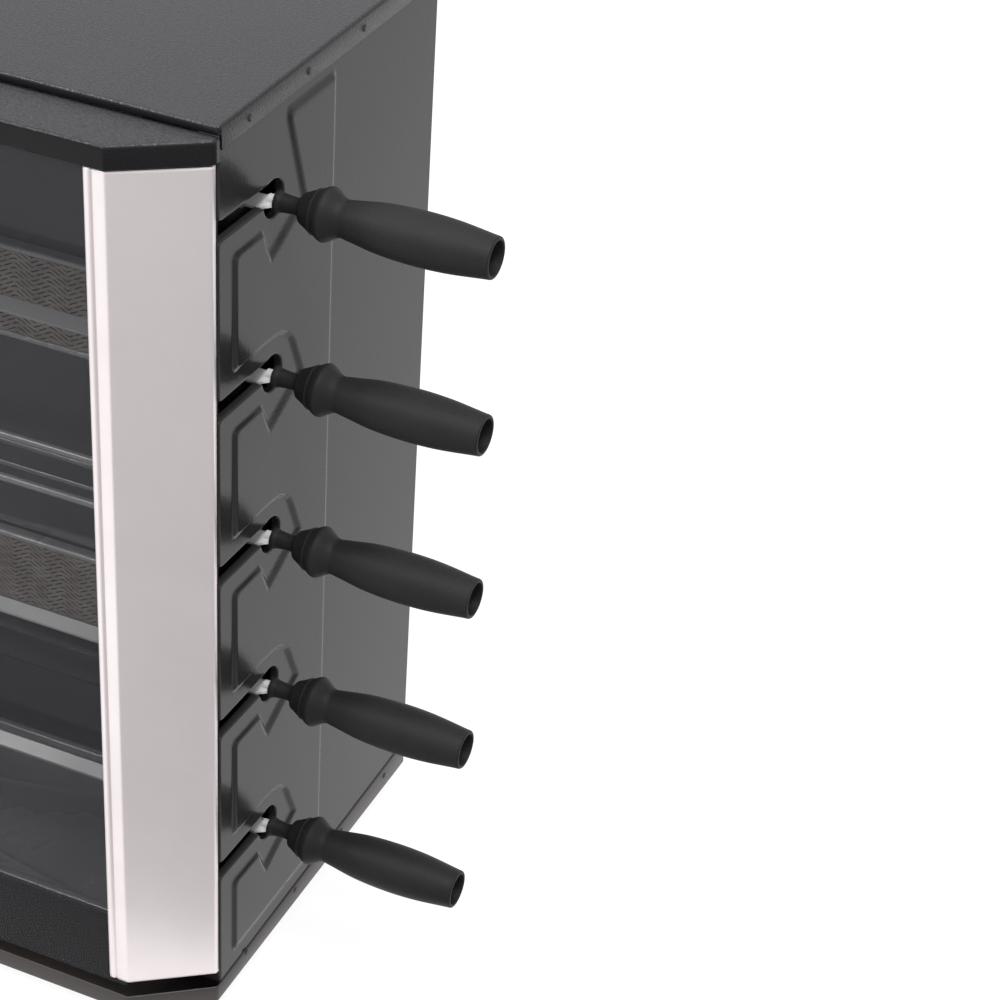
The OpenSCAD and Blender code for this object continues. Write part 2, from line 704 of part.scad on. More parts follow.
// Slope of the outline at a station, and a cubic from p to q with end slopes m and n
function slope(k) =
    let (a = handle_stations[max(k - 1, 0)], b = handle_stations[min(k + 1, last_station)])
        (b[1] - a[1]) / (b[0] - a[0]);
function cubic(p, q, m, n, t) =
    p * (2 * t ^ 3 - 3 * t ^ 2 + 1) + m * (t ^ 3 - 2 * t ^ 2 + t)
        + q * (3 * t ^ 2 - 2 * t ^ 3) + n * (t ^ 3 - t ^ 2);
handle_outline = [for (k = [0 : last_station - 1], j = [0 : grip_steps - 1])
    let (a = handle_stations[k], b = handle_stations[k + 1], h = b[0] - a[0], t = j / grip_steps)
        [cubic(a[1], b[1], slope(k) * h, slope(k + 1) * h, t), a[0] + h * t]];
module skewer_handle(i) color("#1a1a1a") placed()
    translate([hw, skewer_y, skewer_z(i)]) rotate([0, 90, 0]) difference() {
        rotate_extrude()
            polygon(concat([[0, handle_in]], handle_outline, [[end_r - 1.2, handle_out], [0, handle_out]]));
        translate([0, 0, -1]) cylinder(h = shank_len + 1.5, r = shank_r + run_gap);
        translate([0, 0, handle_out - hole_deep]) cylinder(h = hole_deep + 1, r = hole_r);
    }

// ---- Door ----
// Cross-section of the corner post, folded from strip steel
function post_side(i) = [
    [front_x(post_in) - post_strip, front_y(i)], [front_x(i), front_y(i)],
    [side_x(i), side_y(i)], [side_x(i), post_back]];
function reversed(list) = [for (k = [len(list) - 1 : -1 : 0]) list[k]];
module post_shape() translate([0, 0, post_low]) linear_extrude(door_top - post_low)
    polygon(concat(post_side(post_in), reversed(post_side(post_in + post_t))));
module door_post_right() color("#cfc8c6") placed() post_shape();
module door_post_left() color("#cfc8c6") placed() mirror([1, 0, 0]) post_shape();
module door_glass() color("#2b2c2e") placed()
    block([2 - front_x(0), glass_y, glass_low], [front_x(0) - 2, glass_y + glass_t, door_top]);
module door_liners() color("#2c2c2e") placed() {
    y = glass_y + glass_t;
    lip = 4;
    edge = hw - 10;
    for (s = [0, 1]) mirror([s, 0, 0]) translate([0, 0, post_low + 2]) linear_extrude(door_top - post_low - 3)
        polygon([[liner_x - lip, y], [liner_x + 1, y], [liner_x + 1, liner_back - 1], [edge, liner_back - 1],
            [edge, liner_back], [liner_x, liner_back], [liner_x, y + 1], [liner_x - lip, y + 1]]);
}
module door_hinges() color("#9a9c9e") placed() {
    ear_t = 2;
    ear = [[hinge_x - 7, liner_back - 1], [hinge_x + 20, liner_back - 1], [hinge_x + 20, hinge_y - 9],
        [hinge_x - 2, hinge_y - 2.6], [hinge_x - 7, hinge_y + 1.2]];
    for (z = [door_top - hinge_grip, post_low - hinge_deep])
        translate([hinge_x, hinge_y, z]) cylinder(h = hinge_deep + hinge_grip, r = hinge_r);
    for (z = [door_top - hinge_grip, post_low + 3]) translate([0, 0, z]) linear_extrude(ear_t) polygon(ear);
}
module door_catch() color("#3a3a3c") placed()
    block([hw - 48, liner_back + move_gap, hood_bottom - 14], [hw - 24, 10, hood_top - trim_t]);
module drip_tray() color("#7b7e82") placed() {
    rim = 4;
    edge = rail_x - 6;
    top = tray_z + tray_depth;
    difference() {
        union() {
            block([-tray_x, tray_y0, tray_z], [edge, tray_y1, top - 1]);
            block([-tray_x - rim, tray_y0 - rim, top - 1], [edge + rim, tray_y1 + rim, top]);
        }
        block([sheet - tray_x, tray_y0 + sheet, tray_z + sheet], [edge - sheet, tray_y1 - sheet, top + eps]);
    }
}

side_panel_right();
side_panel_left();
top_cover();
back_panel();
hood();
base_pan();
feet();
skewer_rail();
rear_reflector();
lower_reflector();
burner_box(0);  // burner_box_upper
burner_box(1);  // burner_box_lower
burner_tile(0);  // burner_tile_upper
burner_tile(1);  // burner_tile_lower
burner_mesh(0);  // burner_mesh_upper
burner_mesh(1);  // burner_mesh_lower
burner_frame(0);  // burner_frame_upper
burner_frame(1);  // burner_frame_lower
gas_pipe(0);  // gas_pipe_upper
gas_pipe(1);  // gas_pipe_lower
gas_manifold();
gas_valves();
gas_knob(0);  // gas_knob_upper
gas_knob(1);  // gas_knob_lower
spark_electrodes();
igniter_body();
igniter_button();
switch_body();
switch_key();
drive_plate();
drive_housing();
motor();
spindle_gear(0);  // spindle_gear_1
spindle_gear(1);  // spindle_gear_2
spindle_gear(2);  // spindle_gear_3
spindle_gear(3);  // spindle_gear_4
spindle_gear(4);  // spindle_gear_5
idler_gear(0);  // idler_gear_1
idler_gear(1);  // idler_gear_2
idler_gear(2);  // idler_gear_3
idler_gear(3);  // idler_gear_4
skewer(0);  // skewer_1
skewer(1);  // skewer_2
skewer(2);  // skewer_3
skewer(3);  // skewer_4
skewer(4);  // skewer_5
skewer_handle(0);  // skewer_handle_1
skewer_handle(1);  // skewer_handle_2
skewer_handle(2);  // skewer_handle_3
skewer_handle(3);  // skewer_handle_4
skewer_handle(4);  // skewer_handle_5
door_post_left();
door_post_right();
door_glass();
door_liners();
door_hinges();
door_catch();
drip_tray();
rivets();
cord_grommet();
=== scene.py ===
# %% [markdown]
# # A vertical rotisserie oven in Blender
# The real oven is a cabinet of folded black sheet steel. Five skewers lie one above the other behind a smoked
# glass door, and their black handles stick out of slots in the right side. The structure, sizes and joints
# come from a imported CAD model, the frame. This script makes the looks: the rounded folds, the stamped side
# panel, the burner mesh, the moulded handles, and the finish of every surface.

# %% Load the frame
import json
import math
import bmesh
import bpy
import numpy as np
from mathutils import Matrix, Vector


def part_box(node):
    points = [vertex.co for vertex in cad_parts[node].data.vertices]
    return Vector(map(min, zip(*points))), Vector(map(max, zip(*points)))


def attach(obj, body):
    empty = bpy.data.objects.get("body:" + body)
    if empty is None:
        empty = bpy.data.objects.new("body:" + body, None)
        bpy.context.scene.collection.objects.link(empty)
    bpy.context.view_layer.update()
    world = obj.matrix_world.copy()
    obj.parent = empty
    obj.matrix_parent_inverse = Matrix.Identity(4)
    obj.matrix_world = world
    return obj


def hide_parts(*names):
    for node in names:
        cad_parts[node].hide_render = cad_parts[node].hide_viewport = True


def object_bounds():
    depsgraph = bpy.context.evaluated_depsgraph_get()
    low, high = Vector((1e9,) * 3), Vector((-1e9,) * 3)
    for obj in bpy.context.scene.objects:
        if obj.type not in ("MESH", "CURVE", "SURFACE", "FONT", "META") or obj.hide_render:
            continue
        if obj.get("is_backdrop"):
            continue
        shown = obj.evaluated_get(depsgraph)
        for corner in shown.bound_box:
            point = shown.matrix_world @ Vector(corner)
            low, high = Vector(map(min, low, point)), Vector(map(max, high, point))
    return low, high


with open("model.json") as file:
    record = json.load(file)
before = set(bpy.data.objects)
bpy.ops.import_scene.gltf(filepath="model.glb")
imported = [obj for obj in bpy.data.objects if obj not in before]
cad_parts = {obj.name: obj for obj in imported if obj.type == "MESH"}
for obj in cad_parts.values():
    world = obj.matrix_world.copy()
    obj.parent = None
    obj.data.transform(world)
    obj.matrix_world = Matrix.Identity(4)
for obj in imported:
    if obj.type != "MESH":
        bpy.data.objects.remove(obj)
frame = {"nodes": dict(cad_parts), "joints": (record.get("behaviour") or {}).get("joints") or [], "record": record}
size_of_cad = [list(corner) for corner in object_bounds()]
MM = 0.001
axes = {joint["child"]: Vector(joint.get("pos_m", (0, 0, 0))) for joint in frame["joints"]}
seats = [axes[f"spindle_{i}"] for i in range(1, 6)]

# %% [markdown]
# ## The camera
# The oven is seen from its front right corner, from a little above, with a long lens that stands close to
# its right side. The camera's place is given from the top corner over the handles, so it follows the
# cabinet if its size changes. Azimuth, tilt and roll turn it.

# %% Camera
cover_low, cover_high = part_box("top_cover")
corner = Vector((cover_high.x, cover_low.y, cover_high.z))
camera_offset = Vector((0.6203, -1.1163, 0.6128))
azimuth, tilt, roll = (math.radians(a) for a in (21.87, 33.38, -3.826))
forward = Vector((-math.sin(azimuth) * math.cos(tilt), math.cos(azimuth) * math.cos(tilt), -math.sin(tilt)))
level = forward.cross(Vector((0, 0, 1))).normalized()
down = forward.cross(level)
right = math.cos(roll) * level + math.sin(roll) * down
below = -math.sin(roll) * level + math.cos(roll) * down
camera = bpy.data.objects.new("camera", bpy.data.cameras.new("camera"))
bpy.context.scene.collection.objects.link(camera)
camera.data.lens = 95.76
camera.data.sensor_width = 36
turn = Matrix((right, -below, -forward)).transposed().to_4x4()
camera.matrix_world = Matrix.Translation(corner + camera_offset) @ turn
bpy.context.scene.camera = camera
print("camera at", [round(v, 3) for v in camera.location])

# %% [markdown]
# ## Floor and light
# A plain white floor and a white room, as in a product studio. Black paint shows only what it reflects. Two
# small bright panels stand where the round front edges of the cover and the hood mirror them to the camera,
# and a large one hangs overhead. The floor is lit from below, as a light table is, so it keeps no
# shadow. A grey card lies on it at the right front, out of view, and shades the slanted faces.

# %% Studio
def studio_material(name, color, roughness):
    material = bpy.data.materials.new(name)
    material.use_nodes = True
    shader = material.node_tree.nodes["Principled BSDF"]
    shader.inputs["Base Color"].default_value = (*color, 1)
    shader.inputs["Roughness"].default_value = roughness
    return material


def area_light(name, place, target, width, height, power):
    """A soft panel of light at place that faces target."""
    lamp = bpy.data.lights.new(name, "AREA")
    lamp.shape = "RECTANGLE"
    lamp.size, lamp.size_y = width, height
    lamp.energy = power
    obj = bpy.data.objects.new(name, lamp)
    bpy.context.scene.collection.objects.link(obj)
    obj.location = place
    obj.rotation_euler = (Vector(target) - Vector(place)).to_track_quat("-Z", "Y").to_euler()
    return obj


def floor_sheet(name, corners, height, material):
    """A flat sheet of paper at one height, over corners that run anticlockwise seen from above."""
    mesh = bpy.data.meshes.new(name)
    mesh.from_pydata([(x, y, height) for x, y in corners], [], [tuple(range(len(corners)))])
    sheet = bpy.data.objects.new(name, mesh)
    bpy.context.scene.collection.objects.link(sheet)
    mesh.materials.append(material)
    return sheet


floor_half = 6.0
floor_paper = studio_material("floor_paper", (0.12, 0.12, 0.12), 0.9)
floor_shader = floor_paper.node_tree.nodes["Principled BSDF"]
floor_shader.inputs["Emission Color"].default_value = (1, 1, 1, 1)
floor_shader.inputs["Emission Strength"].default_value = 0.92
floor_corners = [(-floor_half, -floor_half), (floor_half, -floor_half), (floor_half, floor_half),
                 (-floor_half, floor_half)]
floor_sheet("floor", floor_corners, 0, floor_paper)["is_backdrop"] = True
card_corners = [(0.20, -0.30), (0.10, -2.0), (3.0, -2.0), (3.0, 0.50), (1.6, 0.50), (0.30, -0.16)]
card_paper = studio_material("card_paper", (0.30, 0.30, 0.30), 0.9)
floor_sheet("grey_card", card_corners, 0.001, card_paper)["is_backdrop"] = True

# %% Lights
world = bpy.data.worlds.new("studio")
world.use_nodes = True
world.node_tree.nodes["Background"].inputs["Color"].default_value = (1, 1, 1, 1)
world.node_tree.nodes["Background"].inputs["Strength"].default_value = 0.8
bpy.context.scene.world = world
area_light("panel_front", (-1.1, -1.5, 2.4), (0.1, -0.1, 0.6), 1.2, 0.5, 45)
area_light("panel_right", (1.0, -0.8, 2.75), (0.25, -0.15, 0.6), 0.7, 0.5, 36)
area_light("panel_top", (0, 0.2, 2.6), (0, 0, 0.4), 2.0, 1.4, 15)
bpy.context.scene.view_settings.view_transform = "Standard"
print("a floor, a card and three panels of light")

# %% [markdown]
# ## Helpers for surfaces
# Every new piece is worked out as arrays of points with numpy. `grid_faces` joins a grid of points with quads, and
# `make_piece` puts points and faces into a mesh, points its faces outwards unless told not to, hangs it on its
# body and hides the parts of the frame that it stands for.

# %% Mesh helpers
def grid_faces(rows, columns, close_rows=False, close_columns=False):
    """Corner numbers of the quads between the neighbouring points of a rows by columns grid."""
    r, c = np.meshgrid(np.arange(rows if close_rows else rows - 1),
                       np.arange(columns if close_columns else columns - 1), indexing="ij")
    r_next, c_next = (r + 1) % rows, (c + 1) % columns
    quads = np.stack([r * columns + c, r * columns + c_next, r_next * columns + c_next, r_next * columns + c],
                     -1)
    return quads.reshape(-1, 4)


def dress_mesh(mesh, merge, sharp_degrees, outward=True):
    """Merges doubles, turns the faces outwards and shades smoothly up to an angle."""
    work = bmesh.new()
    work.from_mesh(mesh)
    bmesh.ops.remove_doubles(work, verts=work.verts, dist=merge)
    if outward:
        bmesh.ops.recalc_face_normals(work, faces=work.faces)
    work.to_mesh(mesh)
    work.free()
    mesh.shade_smooth()
    mesh.set_sharp_from_angle(angle=math.radians(sharp_degrees))


def make_piece(name, points, faces, body, material, stands_for=(), merge=1e-6, sharp=40, outward=True):
    """A piece from (n, 3) points in metres and lists of corner numbers."""
    mesh = bpy.data.meshes.new(name)
    lists = [row for block in faces for row in np.asarray(block).tolist()]
    mesh.from_pydata(np.asarray(points, float).reshape(-1, 3).tolist(), [], lists)
    dress_mesh(mesh, merge, sharp, outward)
    piece = bpy.data.objects.new(name, mesh)
    bpy.context.scene.collection.objects.link(piece)
    mesh.materials.append(material)
    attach(piece, body)
    if stands_for:
        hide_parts(*stands_for)
    return piece


def thicken(piece, thickness, offset=-1.0):
    """Gives a surface the thickness of its sheet, towards its inside."""
    solid = piece.modifiers.new("sheet", "SOLIDIFY")
    solid.thickness = thickness
    solid.offset = offset
    return piece


def ease(t):
    """Smooth step from 0 to 1: 3t^2 - 2t^3, held at its ends."""
    t = np.clip(t, 0, 1)
    return t * t * (3 - 2 * t)


# %% [markdown]
# ## Node groups for the finishes
# Most surfaces of the oven share a few effects: the orange peel of baked paint, the grain of brushed steel,
# smudges from handling, and a little dust that is also painted light on faces that look up. Each one is a node
# group with named inputs, built once and used with other values in each material, so a finish is tuned in one
# place.

# %% Node group helpers
def new_group(name, inputs, outputs):
    """An empty shader node group with sockets given as (name, kind, value)."""
    tree = bpy.data.node_groups.new(name, "ShaderNodeTree")
    for label, kind, value in inputs:
        socket = tree.interface.new_socket(label, in_out="INPUT", socket_type=kind)
        socket.default_value = value
    for label, kind in outputs:
        tree.interface.new_socket(label, in_out="OUTPUT", socket_type=kind)
    return tree, tree.nodes.new("NodeGroupInput"), tree.nodes.new("NodeGroupOutput")


def add_node(tree, kind, links=None, **settings):
    """A node of that kind with settings, its inputs linked or set from the links dictionary."""
    node = tree.nodes.new(kind)
    for key, value in settings.items():
        setattr(node, key, value)
    for key, value in (links or {}).items():
        if isinstance(value, bpy.types.NodeSocket):
            tree.links.new(value, node.inputs[key])
        else:
            node.inputs[key].default_value = value
    return node


VALUE, COLOR, VECTOR = "NodeSocketFloat", "NodeSocketColor", "NodeSocketVector"

# %% Orange peel: the small even waves of baked paint
peel, peel_in, peel_out = new_group("orange_peel",
                                    [("Grains per metre", VALUE, 900.0), ("Strength", VALUE, 0.2)],
                                    [("Normal", VECTOR), ("Grain", VALUE)])
place = add_node(peel, "ShaderNodeTexCoord").outputs["Object"]
noise = add_node(peel, "ShaderNodeTexNoise",
                 {"Vector": place, "Scale": peel_in.outputs["Grains per metre"], "Detail": 2.0,
                  "Roughness": 0.45})
bump = add_node(peel, "ShaderNodeBump",
                {"Height": noise.outputs["Fac"], "Strength": peel_in.outputs["Strength"],
                 "Distance": 0.0004})
peel.links.new(bump.outputs["Normal"], peel_out.inputs["Normal"])
peel.links.new(noise.outputs["Fac"], peel_out.inputs["Grain"])

# %% Grain: long fine scratches along one direction
grain, grain_in, grain_out = new_group("metal_grain",
                                       [("Stretch", VECTOR, (30.0, 30.0, 2500.0)), ("Strength", VALUE, 0.1)],
                                       [("Normal", VECTOR), ("Streaks", VALUE)])
place = add_node(grain, "ShaderNodeTexCoord").outputs["Object"]
scaled = add_node(grain, "ShaderNodeVectorMath", {0: place, 1: grain_in.outputs["Stretch"]},
                  operation="MULTIPLY")
noise = add_node(grain, "ShaderNodeTexNoise",
                 {"Vector": scaled.outputs["Vector"], "Scale": 1.0, "Detail": 4.0, "Roughness": 0.6})
bump = add_node(grain, "ShaderNodeBump",
                {"Height": noise.outputs["Fac"], "Strength": grain_in.outputs["Strength"],
                 "Distance": 0.0001})
grain.links.new(bump.outputs["Normal"], grain_out.inputs["Normal"])
grain.links.new(noise.outputs["Fac"], grain_out.inputs["Streaks"])

# %% Smudges, and a veil of dust on what faces up that also lightens those faces as painted light
handling, marks_and_light_in, marks_and_light_out = new_group("handling",
                                        [("Patches per metre", VALUE, 14.0), ("Dust and top light", VALUE, 0.3)],
                                        [("Smudge", VALUE), ("Dust and top light", VALUE)])
place = add_node(handling, "ShaderNodeTexCoord").outputs["Object"]
noise = add_node(handling, "ShaderNodeTexNoise",
                 {"Vector": place, "Scale": marks_and_light_in.outputs["Patches per metre"], "Detail": 5.0})
spread = add_node(handling, "ShaderNodeMapRange",
                  {"Value": noise.outputs["Fac"], "From Min": 0.35, "From Max": 0.7})
# Faces that look up get more of the light dust colour: partly real dust, partly painted light on the tops.
facing = add_node(handling, "ShaderNodeSeparateXYZ",
                  {"Vector": add_node(handling, "ShaderNodeNewGeometry").outputs["Normal"]})
upward = add_node(handling, "ShaderNodeMapRange",
                  {"Value": facing.outputs["Z"], "From Min": 0.3, "From Max": 1.0})
fine = add_node(handling, "ShaderNodeTexNoise", {"Vector": place, "Scale": 700.0, "Detail": 3.0})
upward_dust_and_light = add_node(handling, "ShaderNodeMath", {0: upward.outputs["Result"], 1: fine.outputs["Fac"]},
                 operation="MULTIPLY")
dust_and_light_amount = add_node(handling, "ShaderNodeMath", {0: upward_dust_and_light.outputs["Value"], 1: marks_and_light_in.outputs["Dust and top light"]},
                  operation="MULTIPLY")
handling.links.new(spread.outputs["Result"], marks_and_light_out.inputs["Smudge"])
handling.links.new(dust_and_light_amount.outputs["Value"], marks_and_light_out.inputs["Dust and top light"])


# %% [markdown]
# ## Materials
# A finish is a Principled shader whose colour, roughness and normal come from those groups. What is the same
# all over a surface, such as metallic or coat, is set on the shader's own socket.

# %% Materials
def finish_material(name, color, second, roughness, rough_range=0.08, bump=("orange_peel", {}), dust_and_top_light=0.0,
                    patches=14.0, **shader_values):
    """A finish: two colours mixed by smudges, a light dust colour on faces that look up that is partly painted
    light, roughness that follows the smudges, and the bump of one group.
    """
    material = bpy.data.materials.new(name)
    material.use_nodes = True
    tree = material.node_tree
    shader = tree.nodes["Principled BSDF"]
    marks_and_light = add_node(tree, "ShaderNodeGroup", {}, node_tree=handling)
    marks_and_light.inputs["Patches per metre"].default_value = patches
    marks_and_light.inputs["Dust and top light"].default_value = dust_and_top_light
    mix = add_node(tree, "ShaderNodeMix", {0: marks_and_light.outputs["Smudge"], 6: (*color, 1), 7: (*second, 1)},
                   data_type="RGBA")
    # Light grey dust on up-facing faces: partly real dust and partly painted light.
    dust_and_light_color = (0.45, 0.43, 0.47, 1)
    dusted_and_lit = add_node(tree, "ShaderNodeMix", {0: marks_and_light.outputs["Dust and top light"], 6: mix.outputs[2], 7: dust_and_light_color},
                      data_type="RGBA")
    tree.links.new(dusted_and_lit.outputs[2], shader.inputs["Base Color"])
    rough = add_node(tree, "ShaderNodeMapRange",
                     {"Value": marks_and_light.outputs["Smudge"], "To Min": roughness,
                      "To Max": roughness + rough_range})
    tree.links.new(rough.outputs["Result"], shader.inputs["Roughness"])
    if bump:
        group = add_node(tree, "ShaderNodeGroup", {}, node_tree=bpy.data.node_groups[bump[0]])
        for key, value in bump[1].items():
            group.inputs[key].default_value = value
        tree.links.new(group.outputs["Normal"], shader.inputs["Normal"])
    for key, value in shader_values.items():
        shader.inputs[key.replace("_", " ")].default_value = value
    return material


# %% Paints
black_paint = finish_material("black_paint", (0.020, 0.020, 0.021), (0.026, 0.025, 0.026), 0.15, 0.07,
                              ("orange_peel", {"Grains per metre": 420.0, "Strength": 0.16}), dust_and_top_light=0.02,
                              Specular_IOR_Level=0.19)
# The hood's paint is a darker copy of the black paint, painted shade that keeps its front faces dark; its
# up-facing dust adds painted light on its top.
hood_paint_shaded = finish_material("hood_paint_shaded", (0.007, 0.007, 0.008), (0.009, 0.009, 0.010), 0.22, 0.06,
                             ("orange_peel", {"Grains per metre": 800.0, "Strength": 0.8}), dust_and_top_light=0.14,
                             Specular_IOR_Level=0.15)
# The top cover's paint is darker than the black paint, painted shade for its front fold, and its up-facing dust
# adds painted light on its flat top.
top_paint = finish_material("top_paint", (0.008, 0.008, 0.009), (0.011, 0.010, 0.012), 0.26, 0.06,
                            ("orange_peel", {"Grains per metre": 800.0, "Strength": 0.8}), dust_and_top_light=0.11,
                            Specular_IOR_Level=0.25)
base_paint = finish_material("base_paint", (0.026, 0.021, 0.019), (0.032, 0.026, 0.024), 0.34, 0.08,
                             ("orange_peel", {"Grains per metre": 700.0, "Strength": 0.22}))
print("four paints")

# %% Sheet metal and rods
post_steel = finish_material("post_steel", (0.90, 0.835, 0.84), (0.84, 0.775, 0.78), 0.42, 0.05,
                             ("metal_grain", {"Stretch": (22.0, 22.0, 2600.0), "Strength": 0.22}),
                             Metallic=1.0)
polished = finish_material("polished_reflector", (0.17, 0.165, 0.18), (0.12, 0.12, 0.13), 0.16, 0.12,
                           ("metal_grain", {"Stretch": (12.0, 900.0, 900.0), "Strength": 0.05}), patches=9.0,
                           Metallic=1.0)
plain_steel = finish_material("plain_steel", (0.45, 0.45, 0.46), (0.38, 0.38, 0.39), 0.3, 0.1,
                              ("metal_grain", {"Stretch": (900.0, 900.0, 20.0), "Strength": 0.08}),
                              Metallic=1.0)
chrome = finish_material("skewer_chrome", (0.95, 0.95, 0.96), (0.90, 0.90, 0.91), 0.30, 0.10,
                         ("metal_grain", {"Stretch": (900.0, 60.0, 60.0), "Strength": 0.08}), Metallic=0.35)
print("four bright metals")

# %% Plastics and rubber
handle_plastic = finish_material("handle_plastic", (0.012, 0.012, 0.013), (0.016, 0.016, 0.017), 0.48, 0.10,
                                 ("orange_peel", {"Grains per metre": 1500.0, "Strength": 0.55}),
                                 patches=30.0, Specular_IOR_Level=0.16)
knob_plastic = finish_material("knob_plastic", (0.014, 0.014, 0.015), (0.020, 0.020, 0.021), 0.28, 0.1,
                               ("orange_peel", {"Grains per metre": 1800.0, "Strength": 0.1}))
button_red = finish_material("button_red", (0.45, 0.02, 0.02), (0.38, 0.02, 0.02), 0.25, 0.1,
                             ("orange_peel", {"Grains per metre": 1800.0, "Strength": 0.05}))
rubber = finish_material("foot_rubber", (0.015, 0.015, 0.015), (0.03, 0.03, 0.03), 0.75, 0.1,
                         ("orange_peel", {"Grains per metre": 2200.0, "Strength": 0.3}))
print("four moulded finishes")

# %% Burners, tray and pipes
mesh_steel = finish_material("burner_mesh", (0.66, 0.56, 0.51), (0.95, 0.86, 0.80), 0.42, 0.2,
                             ("orange_peel", {"Grains per metre": 2500.0, "Strength": 0.4}), patches=60.0,
                             Metallic=0.4)
tile_ceramic = finish_material("burner_tile", (0.09, 0.07, 0.06), (0.06, 0.045, 0.04), 0.85, 0.1,
                               ("orange_peel", {"Grains per metre": 900.0, "Strength": 0.8}), patches=40.0)
burner_steel = finish_material("burner_steel", (0.95, 0.95, 0.96), (0.86, 0.86, 0.86), 0.22, 0.12,
                               ("metal_grain", {"Stretch": (20.0, 1200.0, 1200.0), "Strength": 0.1}),
                               Metallic=0.4)
tray_steel = finish_material("tray_steel", (0.42, 0.41, 0.43), (0.30, 0.29, 0.31), 0.16, 0.16,
                             ("metal_grain", {"Stretch": (14.0, 400.0, 400.0), "Strength": 0.05}),
                             patches=12.0, Metallic=0.25, Specular_IOR_Level=0.8)
brass = finish_material("brass", (0.62, 0.42, 0.17), (0.50, 0.34, 0.14), 0.3, 0.15, ("metal_grain", {}),
                        Metallic=1.0)
pipe_metal = finish_material("gas_pipe", (0.62, 0.62, 0.64), (0.5, 0.5, 0.52), 0.3, 0.15, ("metal_grain", {}),
                             Metallic=1.0)
print("six hot or greasy metals")

# %% Small parts and glass
nylon = finish_material("gear_nylon", (0.60, 0.58, 0.52), (0.52, 0.50, 0.45), 0.4, 0.1,
                        ("orange_peel", {"Grains per metre": 1500.0, "Strength": 0.1}))
porcelain = finish_material("ceramic_white", (0.78, 0.75, 0.68), (0.70, 0.66, 0.58), 0.25, 0.1,
                            ("orange_peel", {"Grains per metre": 800.0, "Strength": 0.1}))
motor_steel = finish_material("motor_steel", (0.30, 0.31, 0.32), (0.22, 0.23, 0.24), 0.35, 0.15,
                              ("metal_grain", {}), Metallic=1.0)
rivet_paint = finish_material("rivet_steel", (0.012, 0.012, 0.012), (0.02, 0.02, 0.02), 0.4, 0.1,
                              ("orange_peel", {"Grains per metre": 2500.0, "Strength": 0.2}))
liner_paint = finish_material("liner_paint", (0.030, 0.030, 0.031), (0.036, 0.036, 0.037), 0.5, 0.1,
                              ("orange_peel", {"Grains per metre": 1500.0, "Strength": 0.3}))
glass = finish_material("door_glass", (0.016, 0.016, 0.019), (0.019, 0.019, 0.022), 0.03, 0.02, None,
                        Alpha=0.42, IOR=1.5, Specular_IOR_Level=0.28)
print("six small finishes")

# %% Finish of each slot
finishes = {"black_paint": black_paint, "top_paint": top_paint, "post_steel": post_steel,
            "reflector_steel": polished, "plain_steel": plain_steel, "skewer_chrome": chrome,
            "burner_steel": burner_steel, "burner_tile": tile_ceramic, "burner_mesh": mesh_steel,
            "door_glass": glass, "handle_plastic": handle_plastic, "knob_plastic": knob_plastic,
            "button_red": button_red, "foot_rubber": rubber, "brass": brass, "gas_pipe": pipe_metal,
            "gear_nylon": nylon, "ceramic_white": porcelain, "motor_steel": motor_steel,
            "tray_steel": tray_steel, "rivet_steel": rivet_paint}
print(len(finishes), "finishes")

# %% [markdown]
# ## The frame's own parts
# Every part of the frame first gets the finish of its slot. Sheet and machined parts whose CAD shape is right
# get one more thing: a merged copy with narrow bevels, because a real edge always catches a line of light.

# %% Finish the frame's parts
slot_of = {part["node"]: part["material_slot"] for part in frame["record"]["subparts"]}
nodes_of_body = frame["record"]["behaviour"]["bodies"]
body_of_node = {node: body for body, nodes in nodes_of_body.items() for node in nodes}
for node, part in frame["nodes"].items():
    part.data.materials.clear()
    part.data.materials.append(finishes[slot_of[node]])
    part.data.shade_smooth()
    part.data.set_sharp_from_angle(angle=math.radians(30))


def bevelled_copy(node, width, segments=2, material=None):
    """A copy of a frame part with its flat faces whole and its edges rounded by width."""
    name = node + "_edged"
    mesh = frame["nodes"][node].data.copy()
    mesh.name = name
    work = bmesh.new()
    work.from_mesh(mesh)
    bmesh.ops.remove_doubles(work, verts=work.verts, dist=1e-6)
    bmesh.ops.dissolve_limit(work, angle_limit=math.radians(1), verts=work.verts, edges=work.edges)
    work.to_mesh(mesh)
    work.free()
    mesh.materials.clear()
    mesh.materials.append(material or finishes[slot_of[node]])
    mesh.shade_smooth()
    piece = bpy.data.objects.new(name, mesh)
    bpy.context.scene.collection.objects.link(piece)
    bevel = piece.modifiers.new("edges", "BEVEL")
    bevel.width = width
    bevel.segments = segments
    bevel.limit_method = "ANGLE"
    bevel.angle_limit = math.radians(35)
    bevel.harden_normals = True
    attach(piece, body_of_node[node])
    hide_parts(node)
    return piece


edged = {"side_panel_left": 0.4, "back_panel": 0.4, "skewer_rail": 0.5, "rear_reflector": 0.4,
         "lower_reflector": 0.3, "burner_frame_upper": 2.4, "burner_frame_lower": 2.4,
         "drive_housing": 1.0, "door_liners": 0.3, "door_glass": 1.0, "door_catch": 0.8,
         "drive_plate": 0.4, "motor": 0.6, "gas_valves": 0.5, "burner_tile_upper": 0.4,
         "burner_tile_lower": 0.4, "switch_body": 0.5, "switch_key": 0.6}
for node, width in edged.items():
    bevelled_copy(node, width * MM, 4 if width > 2 else 2)
bpy.data.objects["door_liners_edged"].data.materials[0] = liner_paint

# %% [markdown]
# ## Rounded outlines
# The hood, the base and the folded cover are all one idea: an outline seen from above, with rounded corners,
# carried down through a few levels. Each level has an inset and a height, so the top edge is a quarter round.

